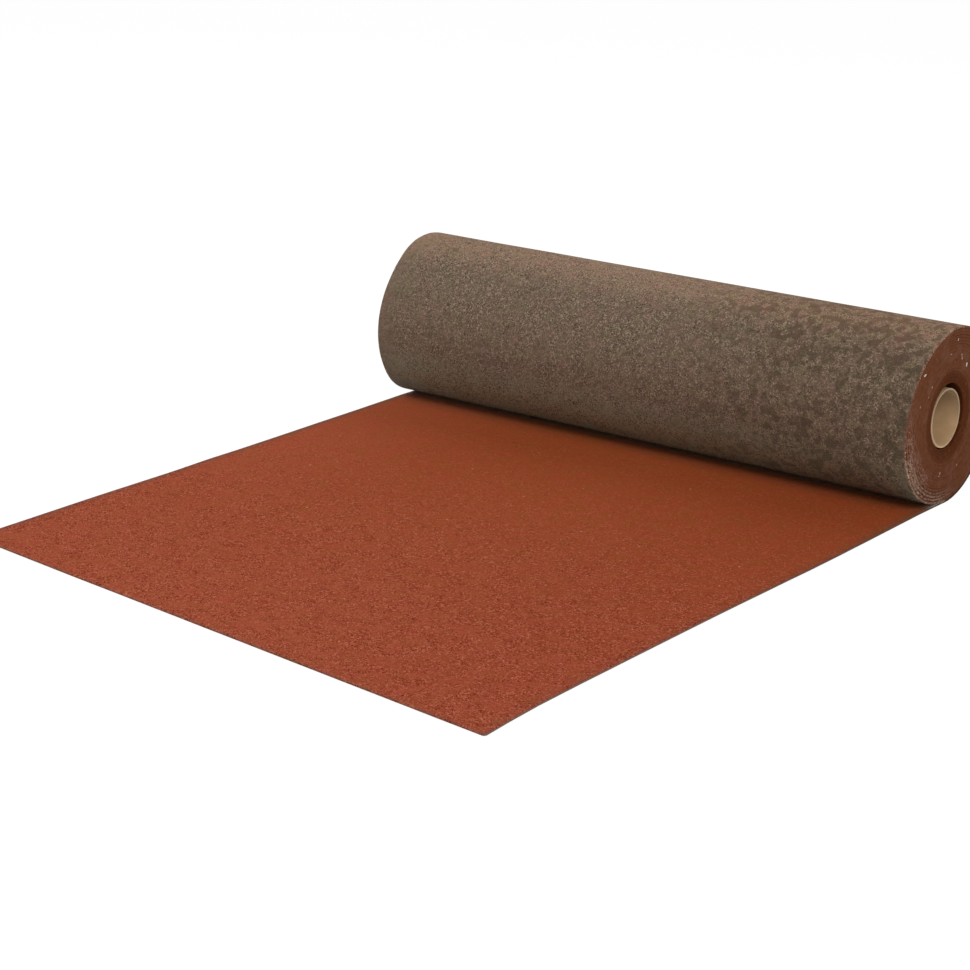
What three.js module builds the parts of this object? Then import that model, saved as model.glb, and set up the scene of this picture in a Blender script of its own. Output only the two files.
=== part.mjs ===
// Part-used roll of mineral-surfaced roofing felt on its cardboard core tube.
//
// The felt is one continuous sheet: wound round the tube with its mineral face inwards, leaving the
// roll at the bottom and lying flat in front of it with the mineral face up. Millimetres, +Z up,
// X along the roll's axis, the laid length towards -Y. The origin is the bottom centre of the box.

import * as THREE from 'three';

// Felt sheet.
const SHEET_WIDTH = 700;
const SHEET_THICKNESS = 2.65;
const LAID_LENGTH = 746;           // from below the roll's axis to the free end, along the -X edge
const FREE_END_SKEW = 90;          // the end is cut out of square: the +X edge is longer by this much

// Winding.
const WHOLE_TURNS = 19;
const START_EDGE_ANGLE = -67.5;    // where the sheet starts in the bore, degrees above +Y
const WINDING_GAP = 0.49;          // air between one turn and the next
const BORE_CLEARANCE = 2.65;       // the bore is this much wider in radius than the tube at its start edge

// Sag of the lying roll. Angles are counted from the bottom forwards, in degrees.
const SAG_LEFT = 4;                // the last turn bulges forwards by this much at the -X end
const SAG_RIGHT = 7;               // and by this much at the +X end
const SAG_END = 150;
const SAG_LEAN = 0.7;              // below 1 the bulge is gathered near the bottom
const SAG_FADE = 4;                // the higher, the fewer turns share the bulge
const FLATTENING = 2;              // the last turn is flattened by this much between front and top
const FLAT_START = 90;
const FLAT_END = 180;
const BORE_DRIFT = [-2.2, -2.4];   // the first turn's centre hangs this far along Y and Z from the last one's

// Turns as they show on the two ends.
const EDGE_CHAMFER = 0.35;         // each turn's cut edge is worn back this far beside the groove
const GROOVE_DEPTH = 4;
const TELESCOPE = 5;               // the first turn sits this far towards -X of the last one
const TELESCOPE_BOW = 0.45;        // below 1 the sideways slip is gathered near the bore
const EDGE_WANDER = 0.35;          // turns wander sideways by this much as they are wound
const EDGE_WANDER_TURNS = 2.7;     // number of turns in one such wander

// Core tube.
const CORE_OUTER_RADIUS = 32.5;
const CORE_WALL = 2.2;
const CORE_LENGTH = 699;
const CORE_PROUD = 1.2;            // the tube stands this far out of the first turn at the +X end
const CORE_REST_GAP = 0.5;
const CORE_REST_ANGLE = -168;      // direction in which the tube leans on the bore, degrees from +Y

// Facets.
const STEPS_PER_TURN = 32;
const CORE_SEGMENTS = 48;

const pitch = SHEET_THICKNESS + WINDING_GAP;
const boreRadius = CORE_OUTER_RADIUS + BORE_CLEARANCE;
const stepAngle = 2 * Math.PI / STEPS_PER_TURN;
const turns = WHOLE_TURNS + (START_EDGE_ANGLE + 90) / 360;
const lastStep = Math.round(turns * STEPS_PER_TURN);
const rollRadius = boreRadius + pitch * lastStep / STEPS_PER_TURN + SHEET_THICKNESS;
const longestLaid = LAID_LENGTH + Math.max(FREE_END_SKEW, 0);
const backStep = lastStep - STEPS_PER_TURN / 4;
const backReach = windingPoint(backStep, windingRadius(backStep, 1) + SHEET_THICKNESS, 0)[1];

// Radius of the mineral face at a winding step, counted outwards from the start edge. The side is
// -1 at the -X end and 1 at the +X end.
function windingRadius(step, side) {
  return boreRadius + pitch * step / STEPS_PER_TURN + outOfRound(step, side);
}

// The roll sags onto the laid length, its outer turns most, and is flatter between front and top.
function outOfRound(step, side) {
  const share = step / lastStep;
  const turnsBack = (lastStep - step) / STEPS_PER_TURN;
  const fromBottom = 360 * (Math.ceil(turnsBack) - turnsBack);
  const sag = (side < 0 ? SAG_LEFT : SAG_RIGHT) * share ** SAG_FADE;
  const flattening = FLATTENING * share;
  return sag * hump(fromBottom, 0, SAG_END, SAG_LEAN) - flattening * hump(fromBottom, FLAT_START, FLAT_END, 1);
}

// Rises from 0 at the start to 1 and falls to 0 at the end, sooner with a lean below 1.
function hump(angle, start, end, lean) {
  if (angle <= start || angle >= end) return 0;
  return Math.sin(Math.PI * ((angle - start) / (end - start)) ** lean) ** 2;
}

// Sideways place of a turn's edges at a winding step.
function sideShift(step) {
  const share = step / lastStep;
  const phase = step * stepAngle / EDGE_WANDER_TURNS;
  const wander = EDGE_WANDER * Math.sin(phase) * Math.sin(Math.PI * share);
  return TELESCOPE * (share ** TELESCOPE_BOW - 0.5) + wander;
}

// How far a turn's centre hangs from the roll's axis, along Y and Z.
function turnDrift(step) {
  return BORE_DRIFT.map((drift) => drift * (1 - step / lastStep));
}

// Place of a point at a radius from its turn's centre: winding runs top, back, bottom, front.
function windingPoint(step, radius, x) {
  const angle = -Math.PI / 2 + (lastStep - step) * stepAngle;
  const [driftY, driftZ] = turnDrift(step);
  return [x, driftY + radius * Math.cos(angle), rollRadius + driftZ + radius * Math.sin(angle)];
}

// A closed mesh gathered from named corner points and the faces between them.
class FaceSet {
  constructor() {
    this.positions = [];
    this.indices = [];
  }

  point(place) {
    this.positions.push(...place);
    return this.positions.length / 3 - 1;
  }

  // Faces are listed counter-clockwise seen from outside at the +X end, and mirrored at the -X end.
  face(corners, flip = false) {
    const ring = flip ? [...corners].reverse() : corners;
    for (let i = 1; i + 1 < ring.length; i += 1) this.indices.push(ring[0], ring[i], ring[i + 1]);
  }

  geometry() {
    const geometry = new THREE.BufferGeometry();
    geometry.setAttribute('position', new THREE.Float32BufferAttribute(this.positions, 3));
    geometry.setIndex(this.indices);
    geometry.computeVertexNormals();
    return geometry;
  }
}

// One end of the winding: the edge of every turn, with a groove between each turn and the next.
function windingEnd(faces, side) {
  const inner = [];
  const outer = [];
  const groove = [];
  for (let step = 0; step <= lastStep; step += 1) {
    const x = side * SHEET_WIDTH / 2 + sideShift(step);
    const radius = windingRadius(step, side);
    const innerChamfer = step < STEPS_PER_TURN || step === lastStep ? 0 : EDGE_CHAMFER;
    const outerChamfer = step < lastStep - STEPS_PER_TURN ? EDGE_CHAMFER : 0;
    inner.push(faces.point(windingPoint(step, radius + innerChamfer, x)));
    outer.push(faces.point(windingPoint(step, radius + SHEET_THICKNESS - outerChamfer, x)));
    if (step <= lastStep - STEPS_PER_TURN) {
      const middle = (radius + SHEET_THICKNESS + windingRadius(step + STEPS_PER_TURN, side)) / 2;
      groove.push(faces.point(windingPoint(step, middle, x - side * GROOVE_DEPTH)));
    }
  }
  const flip = side < 0;
  for (let step = 0; step < lastStep; step += 1) {
    faces.face([inner[step], inner[step + 1], outer[step + 1], outer[step]], flip);
    if (step >= lastStep - STEPS_PER_TURN) continue;
    const next = step + STEPS_PER_TURN;
    faces.face([outer[step], outer[step + 1], groove[step + 1], groove[step]], flip);
    faces.face([groove[step], groove[step + 1], inner[next + 1], inner[next]], flip);
  }
  return { inner, outer, groove };
}

// The free length: four corners at the free end, cut along a line that isn't square to the edges.
function freeEnd(faces, side) {
  const x = side * SHEET_WIDTH / 2 + sideShift(lastStep);
  const y = -LAID_LENGTH - (side > 0 ? FREE_END_SKEW : 0);
  return {
    top: faces.point([x, y, SHEET_THICKNESS]),
    bottom: faces.point([x, y, 0]),
  };
}

function feltSheet() {
  const faces = new FaceSet();
  const left = windingEnd(faces, -1);
  const right = windingEnd(faces, 1);
  const leftEnd = freeEnd(faces, -1);
  const rightEnd = freeEnd(faces, 1);
  const lastTurn = lastStep - STEPS_PER_TURN;

  // Bore and outside of the roll.
  for (let step = 0; step < STEPS_PER_TURN; step += 1) {
    faces.face([left.inner[step], left.inner[step + 1], right.inner[step + 1], right.inner[step]]);
  }
  for (let step = lastTurn; step < lastStep; step += 1) {
    faces.face([right.outer[step], right.outer[step + 1], left.outer[step + 1], left.outer[step]]);
  }

  // Start edge in the bore, and the thin gap where the last turn comes down on the laid length.
  const secondTurn = STEPS_PER_TURN;
  faces.face([left.inner[0], right.inner[0], right.outer[0], left.outer[0]]);
  faces.face([left.outer[0], right.outer[0], right.groove[0], left.groove[0]]);
  faces.face([left.groove[0], right.groove[0], right.inner[secondTurn], left.inner[secondTurn]]);
  const crease = [left.groove[lastTurn], right.groove[lastTurn]];
  faces.face([left.outer[lastTurn], crease[0], crease[1], right.outer[lastTurn]]);
  faces.face([crease[0], left.inner[lastStep], right.inner[lastStep], crease[1]]);

  // Laid length.
  faces.face([left.inner[lastStep], leftEnd.top, rightEnd.top, right.inner[lastStep]]);
  faces.face([right.outer[lastStep], rightEnd.bottom, leftEnd.bottom, left.outer[lastStep]]);
  faces.face([right.inner[lastStep], rightEnd.top, rightEnd.bottom, right.outer[lastStep]]);
  faces.face([left.outer[lastStep], leftEnd.bottom, leftEnd.top, left.inner[lastStep]]);
  faces.face([leftEnd.top, leftEnd.bottom, rightEnd.bottom, rightEnd.top]);
  return faces.geometry();
}

// The tube lies in the bore, off its centre, leaning on the felt at the front.
function coreTube() {
  const section = new THREE.Shape();
  section.absarc(0, 0, CORE_OUTER_RADIUS, 0, 2 * Math.PI, false);
  const hole = new THREE.Path();
  hole.absarc(0, 0, CORE_OUTER_RADIUS - CORE_WALL, 0, 2 * Math.PI, true);
  section.holes.push(hole);
  const geometry = new THREE.ExtrudeGeometry(section, {
    depth: CORE_LENGTH,
    bevelEnabled: false,
    curveSegments: CORE_SEGMENTS,
  });
  geometry.rotateY(Math.PI / 2);
  geometry.translate(-CORE_LENGTH / 2, 0, 0);
  return geometry;
}

function coreOffset() {
  const angle = THREE.MathUtils.degToRad(CORE_REST_ANGLE);
  const step = Math.round(((-Math.PI / 2 - angle) / stepAngle + lastStep)) % STEPS_PER_TURN;
  const offset = windingRadius(step, 1) - CORE_OUTER_RADIUS - CORE_REST_GAP;
  const [driftY, driftZ] = turnDrift(step);
  return [driftY + offset * Math.cos(angle), driftZ + offset * Math.sin(angle)];
}

const feltMaterial = new THREE.MeshStandardMaterial({ color: 0x99472f, roughness: 0.95, metalness: 0 });
feltMaterial.name = 'mineral_felt';
const coreMaterial = new THREE.MeshStandardMaterial({ color: 0xa88a64, roughness: 0.85, metalness: 0 });
coreMaterial.name = 'cardboard';

const felt = new THREE.Mesh(feltSheet(), feltMaterial);
felt.name = 'felt_sheet';

const core = new THREE.Mesh(coreTube(), coreMaterial);
core.name = 'core_tube';
const [coreY, coreZ] = coreOffset();
const coreX = sideShift(0) + (SHEET_WIDTH - CORE_LENGTH) / 2 + CORE_PROUD;
core.position.set(coreX, coreY, rollRadius + coreZ);

const roll = new THREE.Group();
roll.add(felt, core);
roll.position.y = (longestLaid - backReach) / 2;

const model = new THREE.Group();
model.add(roll);

export default model;
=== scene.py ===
"""A part-used roll of mineral-surfaced roofing felt on its cardboard core tube.

The felt is wound with its mineral face inwards. Its last turn comes down at the bottom of the roll
and lies flat in front of it, mineral face up. Metres, +Z up, X along the roll's axis, the laid
length towards -Y and the floor at Z = 0.
"""

import logging
import math
from dataclasses import dataclass, field
from enum import Enum, IntEnum

import bmesh
import bpy
import numpy as np
from mathutils import Matrix, Vector

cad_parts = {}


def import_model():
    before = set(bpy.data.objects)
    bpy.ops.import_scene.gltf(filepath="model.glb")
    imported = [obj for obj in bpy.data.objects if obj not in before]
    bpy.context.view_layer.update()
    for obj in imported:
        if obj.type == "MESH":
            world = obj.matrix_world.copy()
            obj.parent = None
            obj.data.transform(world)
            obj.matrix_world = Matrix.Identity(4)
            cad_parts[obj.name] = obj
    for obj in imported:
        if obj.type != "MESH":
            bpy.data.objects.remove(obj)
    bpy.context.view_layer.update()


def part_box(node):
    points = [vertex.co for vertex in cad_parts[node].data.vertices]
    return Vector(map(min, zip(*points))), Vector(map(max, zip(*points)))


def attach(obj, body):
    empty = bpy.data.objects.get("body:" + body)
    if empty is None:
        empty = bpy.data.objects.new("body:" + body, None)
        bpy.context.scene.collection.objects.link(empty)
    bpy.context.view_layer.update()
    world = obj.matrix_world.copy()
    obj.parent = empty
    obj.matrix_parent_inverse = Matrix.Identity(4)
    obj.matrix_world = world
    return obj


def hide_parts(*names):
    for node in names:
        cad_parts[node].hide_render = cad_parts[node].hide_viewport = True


LOG = logging.getLogger("felt_roll")
BODY = "root"
FRAME_PIXELS = 970
MM = 0.001

Colour = tuple[float, float, float]
Pair = tuple[float, float]
Number = np.ndarray | float
Rows = dict[str, np.ndarray]
Material = bpy.types.Material
Piece = bpy.types.Object
Socket = bpy.types.NodeSocket


# Small helpers -----------------------------------------------------------------------------------


def ease(share: Number) -> Number:
    """Bends a straight rise from 0 to 1 into a smooth one."""
    return share * share * (3 - 2 * share)


def smoothstep(low: Number, high: Number, value: Number) -> np.ndarray:
    """Rises smoothly from 0 at low to 1 at high."""
    return ease(np.clip((np.asarray(value, float) - low) / (high - low), 0, 1))


def zone(value: Number, rise: Pair, fall: Pair) -> np.ndarray:
    """Rises from 0 to 1 over the first span and falls back to 0 over the second."""
    return smoothstep(*rise, value) * smoothstep(fall[1], fall[0], value)


def part_way(span: Pair, share: Number) -> Number:
    """A value on the way from the first to the second, at a share from 0 to 1."""
    return span[0] + (span[1] - span[0]) * share


def read_table(table: tuple[Pair, ...], place: Number) -> np.ndarray:
    """Reads a table of places and values, straight between its lines."""
    return np.interp(place, *np.transpose(table))


def add_to_scene(name: str, data: bpy.types.ID) -> Piece:
    """Makes an object and links it to the scene.

    Args:
        name: Name of the object.
        data: Its mesh, lamp or camera.

    Returns:
        The new object, at the origin.
    """
    made = bpy.data.objects.new(name, data)
    bpy.context.scene.collection.objects.link(made)
    return made


class Ripple:
    """Smooth repeatable noise over a plane, from -1 to 1."""

    LAYER_SHIFT = 17

    def __init__(self, seed: int, size: int = 256) -> None:
        """Fills a lattice of cells, which repeats after its size and differs with the seed."""
        self.size = size
        self.table = np.random.default_rng(seed).uniform(-1, 1, (size, size))

    def lattice(self, column: np.ndarray, row: np.ndarray) -> np.ndarray:
        """The stored values at whole places."""
        return self.table[column % self.size, row % self.size]

    def at(self, u: Number, v: Number = 0.0) -> np.ndarray:
        """Reads the noise.

        Args:
            u: Place along the first side, in cells.
            v: Place along the second side, in cells.

        Returns:
            The smooth value at each place.
        """
        u, v = np.broadcast_arrays(np.asarray(u, float), np.asarray(v, float))
        column, row = np.floor(u).astype(int), np.floor(v).astype(int)
        across, along = ease(u - column), ease(v - row)
        low, high = (
            self.lattice(column, row + k) * (1 - across) + self.lattice(column + 1, row + k) * across
            for k in (0, 1)
        )
        return low * (1 - along) + high * along

    def layered(self, u: Number, v: Number = 0.0, layers: int = 3) -> np.ndarray:
        """Adds finer and weaker copies of the noise.

        Args:
            u: Place along the first side, in cells of the coarsest layer.
            v: Place along the second side, in the same cells.
            layers: How many copies, each twice as fine and half as strong.

        Returns:
            The summed value at each place, from about -1 to 1.
        """
        u, v = np.asarray(u), np.asarray(v)
        total = sum(self.at(u * 2**k + self.LAYER_SHIFT * k, v * 2**k) / 2**k for k in range(layers))
        return total / (2 - 2.0 ** (1 - layers))


class MeshDraft:
    """Points, faces and point values that become one mesh object."""

    def __init__(self) -> None:
        """Starts empty."""
        self.points: list[np.ndarray] = []
        self.faces: list[tuple[int, ...]] = []
        self.finish: list[int] = []
        self.values: dict[str, list[np.ndarray]] = {}
        self.count = 0

    def add(self, places: np.ndarray, **values: Number) -> np.ndarray:
        """Adds points.

        Args:
            places: Places in metres, in any array shape that ends in 3.
            values: Point values by name; one missing is 0.

        Returns:
            The points' numbers, in the shape of places without its last axis.
        """
        flat = places.reshape(-1, 3)
        numbers = np.arange(self.count, self.count + len(flat)).reshape(places.shape[:-1])
        for name in values:
            self.values.setdefault(name, [np.zeros(self.count)] if self.count else [])
        for name, parts in self.values.items():
            value = np.broadcast_to(np.asarray(values.get(name, 0.0), float), places.shape[:-1])
            parts.append(value.reshape(-1))
        self.points.append(flat)
        self.count += len(flat)
        return numbers

    def face(self, corners: list[int] | tuple[int, ...], finish: int, flip: bool = False) -> None:
        """Adds one face, unless its corners fall together.

        Args:
            corners: Point numbers round the face; one named twice counts once.
            finish: The face's material number.
            flip: Turns the face over.
        """
        ring = list(dict.fromkeys(int(corner) for corner in corners))
        if len(ring) > 2:
            self.faces.append(tuple(reversed(ring)) if flip else tuple(ring))
            self.finish.append(int(finish))

    def quads(self, a: np.ndarray, b: np.ndarray, finish: int, flip: bool = False) -> None:
        """Joins two rows of points with four-sided faces."""
        for corners in zip(a[:-1], a[1:], b[1:], b[:-1]):
            self.face(corners, finish, flip)

    def grid(self, rows: np.ndarray, finish: int, flip: bool = False) -> None:
        """Joins each row of a table of points with the next one."""
        for a, b in zip(rows[:-1], rows[1:]):
            self.quads(a, b, finish, flip)

    def build(self, name: str, materials: list[Material]) -> Piece:
        """Makes the object.

        Args:
            name: Name of the object and of its mesh.
            materials: Materials in the order of their numbers.

        Returns:
            The new object, smooth shaded, at the origin.
        """
        mesh = bpy.data.meshes.new(name)
        mesh.from_pydata(np.concatenate(self.points).tolist(), [], self.faces)
        for material in materials:
            mesh.materials.append(material)
        mesh.polygons.foreach_set("material_index", self.finish)
        mesh.polygons.foreach_set("use_smooth", [True] * len(self.faces))
        for value_name, parts in self.values.items():
            attribute = mesh.attributes.new(value_name, "FLOAT", "POINT")
            attribute.data.foreach_set("value", np.concatenate(parts).astype(np.float32))
        mesh.update()
        return add_to_scene(name, mesh)


# Node trees --------------------------------------------------------------------------------------


class Blend(Enum):
    """Ways in which one colour is laid on another."""

    MIX = "MIX"
    MULTIPLY = "MULTIPLY"


class NodeGraph:
    """A node tree, with short calls for what all trees share."""

    def __init__(self, tree: bpy.types.NodeTree) -> None:
        """Keeps the tree to which nodes are added."""
        self.tree = tree

    def node(self, kind: str, feeds: dict | None = None, **settings: object) -> bpy.types.Node:
        """Adds a node.

        Args:
            kind: Type of the node.
            feeds: What goes into its inputs, by their names or numbers.
            settings: Its properties by name.

        Returns:
            The new node.
        """
        node = self.tree.nodes.new(kind)
        for name, value in settings.items():
            setattr(node, name, value)
        for key, value in (feeds or {}).items():
            self.feed(node.inputs[key], value)
        return node

    def feed(self, socket: Socket, value: object) -> None:
        """Links an output to a socket, or sets a plain value on it.

        Args:
            socket: The input.
            value: An output socket, a number, a colour or what else the socket takes.
        """
        if isinstance(value, Socket):
            self.tree.links.new(value, socket)
        elif isinstance(value, tuple) and len(value) == 3 and len(socket.default_value) == 4:
            socket.default_value = (*value, 1.0)
        else:
            socket.default_value = value

    def math(self, operation: str, a: object, b: object = 0.0) -> Socket:
        """One sum on numbers."""
        return self.node("ShaderNodeMath", {0: a, 1: b}, operation=operation).outputs[0]

    def product(self, first: object, *others: object) -> Socket:
        """Multiplies numbers.

        Args:
            first: The first number.
            others: The numbers that it is multiplied with.

        Returns:
            Their product.
        """
        for other in others:
            first = self.math("MULTIPLY", first, other)
        return first

    def vector(self, x: object, y: object, z: object = 0.0) -> Socket:
        """A vector from three numbers."""
        return self.node("ShaderNodeCombineXYZ", {0: x, 1: y, 2: z}).outputs[0]


class ShaderGraph(NodeGraph):
    """A material's node tree, with short calls for what the finishes share."""

    def __init__(self, name: str) -> None:
        """Makes the material with a Principled shader and nothing else.

        Args:
            name: Name of the material.
        """
        self.material = bpy.data.materials.new(name)
        self.material.use_nodes = True
        super().__init__(self.material.node_tree)
        self.tree.nodes.clear()
        self.shader = self.node("ShaderNodeBsdfPrincipled")
        self.node("ShaderNodeOutputMaterial", {"Surface": self.shader.outputs["BSDF"]})
        self.place = self.node("ShaderNodeTexCoord").outputs["Object"]

    def noise(self, size: float, detail: float = 2.0, rough: float = 0.5,
              place: Socket | None = None) -> Socket:
        """Cloudy noise.

        Args:
            size: Size of its largest features, in metres.
            detail: Number of finer layers.
            rough: Strength of the finer layers.
            place: Coordinates, or None for the object's own.

        Returns:
            The noise, about 0.5 on average.
        """
        place = self.place if place is None else place
        feeds = {"Vector": place, "Scale": 1 / size, "Detail": detail, "Roughness": rough}
        return self.node("ShaderNodeTexNoise", feeds).outputs[0]

    def grains(self, size: float) -> tuple[Socket, Socket]:
        """Packed grains: the distance from each one's centre, and a colour of its own for each."""
        node = self.node("ShaderNodeTexVoronoi", {"Vector": self.place, "Scale": 1 / size})
        return node.outputs["Distance"], node.outputs["Color"]

    def channel(self, colour: Socket, index: int) -> Socket:
        """One channel of a colour."""
        return self.node("ShaderNodeSeparateColor", {0: colour}).outputs[index]

    def axis(self, index: int) -> Socket:
        """One of the object's own coordinates, in metres."""
        return self.node("ShaderNodeSeparateXYZ", {0: self.place}).outputs[index]

    def point_value(self, name: str) -> Socket:
        """A value that the mesh's points carry."""
        return self.node("ShaderNodeAttribute", attribute_name=name).outputs["Fac"]

    def ramp(self, value: object, span: Pair, onto: Pair = (0.0, 1.0)) -> Socket:
        """Maps a number smoothly from a span, which may run downwards, onto another, within its ends."""
        feeds = dict(enumerate((value, *span, *onto)))
        return self.node("ShaderNodeMapRange", feeds, interpolation_type="SMOOTHSTEP").outputs[0]

    def mix(self, share: object, a: object, b: object, blend: Blend = Blend.MIX) -> Socket:
        """Lays colour b on colour a, to a share from 0 to 1."""
        feeds = {0: share, 6: a, 7: b}
        return self.node("ShaderNodeMix", feeds, data_type="RGBA", blend_type=blend.value).outputs[2]

    def tint(self, colour: object, value: object, span: Pair, laid: Colour, share: float = 1.0,
             blend: Blend = Blend.MIX) -> Socket:
        """Lays a colour on another, from nothing to its share as a value passes over a span."""
        return self.mix(self.ramp(value, span, (0.0, share)), colour, laid, blend)

    def bump(self, height: Socket, distance: float, strength: float, under: Socket | None = None) -> Socket:
        """Relief from a height.

        Args:
            height: The height, from 0 to 1.
            distance: What a height of 1 stands for, in metres.
            strength: Share of the relief that shows.
            under: Relief that this one lies on.

        Returns:
            The normal.
        """
        feeds = {"Height": height, "Distance": distance, "Strength": strength}
        if under is not None:
            feeds["Normal"] = under
        return self.node("ShaderNodeBump", feeds).outputs[0]

    def finish(self, colour: Socket, roughness: Socket, normal: Socket, specular: float) -> Material:
        """Wires the shader.

        Args:
            colour: Base colour.
            roughness: Roughness.
            normal: Normal from the relief.
            specular: Strength of the gloss.

        Returns:
            The finished material.
        """
        for name, value in (
            ("Base Color", colour), ("Roughness", roughness), ("Normal", normal),
            ("Specular IOR Level", specular),
        ):
            self.feed(self.shader.inputs[name], value)
        return self.material


class GeometryGraph(NodeGraph):
    """A Geometry Nodes tree with named inputs, which ends as a plain mesh."""

    def __init__(self, name: str) -> None:
        """Starts an empty tree.

        Args:
            name: Name of the tree.
        """
        super().__init__(bpy.data.node_groups.new(name, "GeometryNodeTree"))
        for way in ("INPUT", "OUTPUT"):
            self.tree.interface.new_socket("Geometry", in_out=way, socket_type="NodeSocketGeometry")
        self.source = self.node("NodeGroupInput")
        self.target = self.node("NodeGroupOutput")
        self.settings: dict[str, float] = {}

    def number(self, name: str, value: float) -> Socket:
        """Adds a named input.

        Args:
            name: Name of the input.
            value: What it is set to.

        Returns:
            Its socket inside the tree.
        """
        kind = "NodeSocketInt" if isinstance(value, int) else "NodeSocketFloat"
        item = self.tree.interface.new_socket(name, in_out="INPUT", socket_type=kind)
        self.settings[item.identifier] = value
        return self.source.outputs[name]

    def between(self, low: object, high: object, seed: Socket, salt: int) -> Socket:
        """A number for each point, between two bounds, that differs with the seed and the salt."""
        feeds = {2: low, 3: high, "Seed": self.math("ADD", seed, float(salt))}
        return self.node("FunctionNodeRandomValue", feeds, data_type="FLOAT").outputs[1]

    def finish(self, made: Socket, material: Material, name: str, base: Piece | None = None) -> Piece:
        """Ends the tree, runs it once and keeps its result as a plain mesh.

        Args:
            made: The geometry.
            material: Its material.
            name: Name of the object.
            base: The object whose surface the tree reads, or None.

        Returns:
            The plain mesh object.
        """
        real = self.node("GeometryNodeRealizeInstances", {0: made})
        feeds = {"Geometry": real.outputs[0], "Material": material}
        painted = self.node("GeometryNodeSetMaterial", feeds)
        self.feed(self.target.inputs[0], painted.outputs[0])
        carrier_mesh = base.data.copy() if base else bpy.data.meshes.new(name + "_carrier")
        carrier = add_to_scene(name + "_carrier", carrier_mesh)
        modifier = carrier.modifiers.new("nodes", "NODES")
        modifier.node_group = self.tree
        for identifier, value in self.settings.items():
            modifier[identifier] = value
        carrier.update_tag()
        graph = bpy.context.evaluated_depsgraph_get()
        mesh = bpy.data.meshes.new_from_object(carrier.evaluated_get(graph))
        mesh.name = name
        carrier.modifiers.remove(modifier)
        bpy.data.objects.remove(carrier)
        bpy.data.meshes.remove(carrier_mesh)
        return add_to_scene(name, mesh)


# Finishes ----------------------------------------------------------------------------------------


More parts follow.
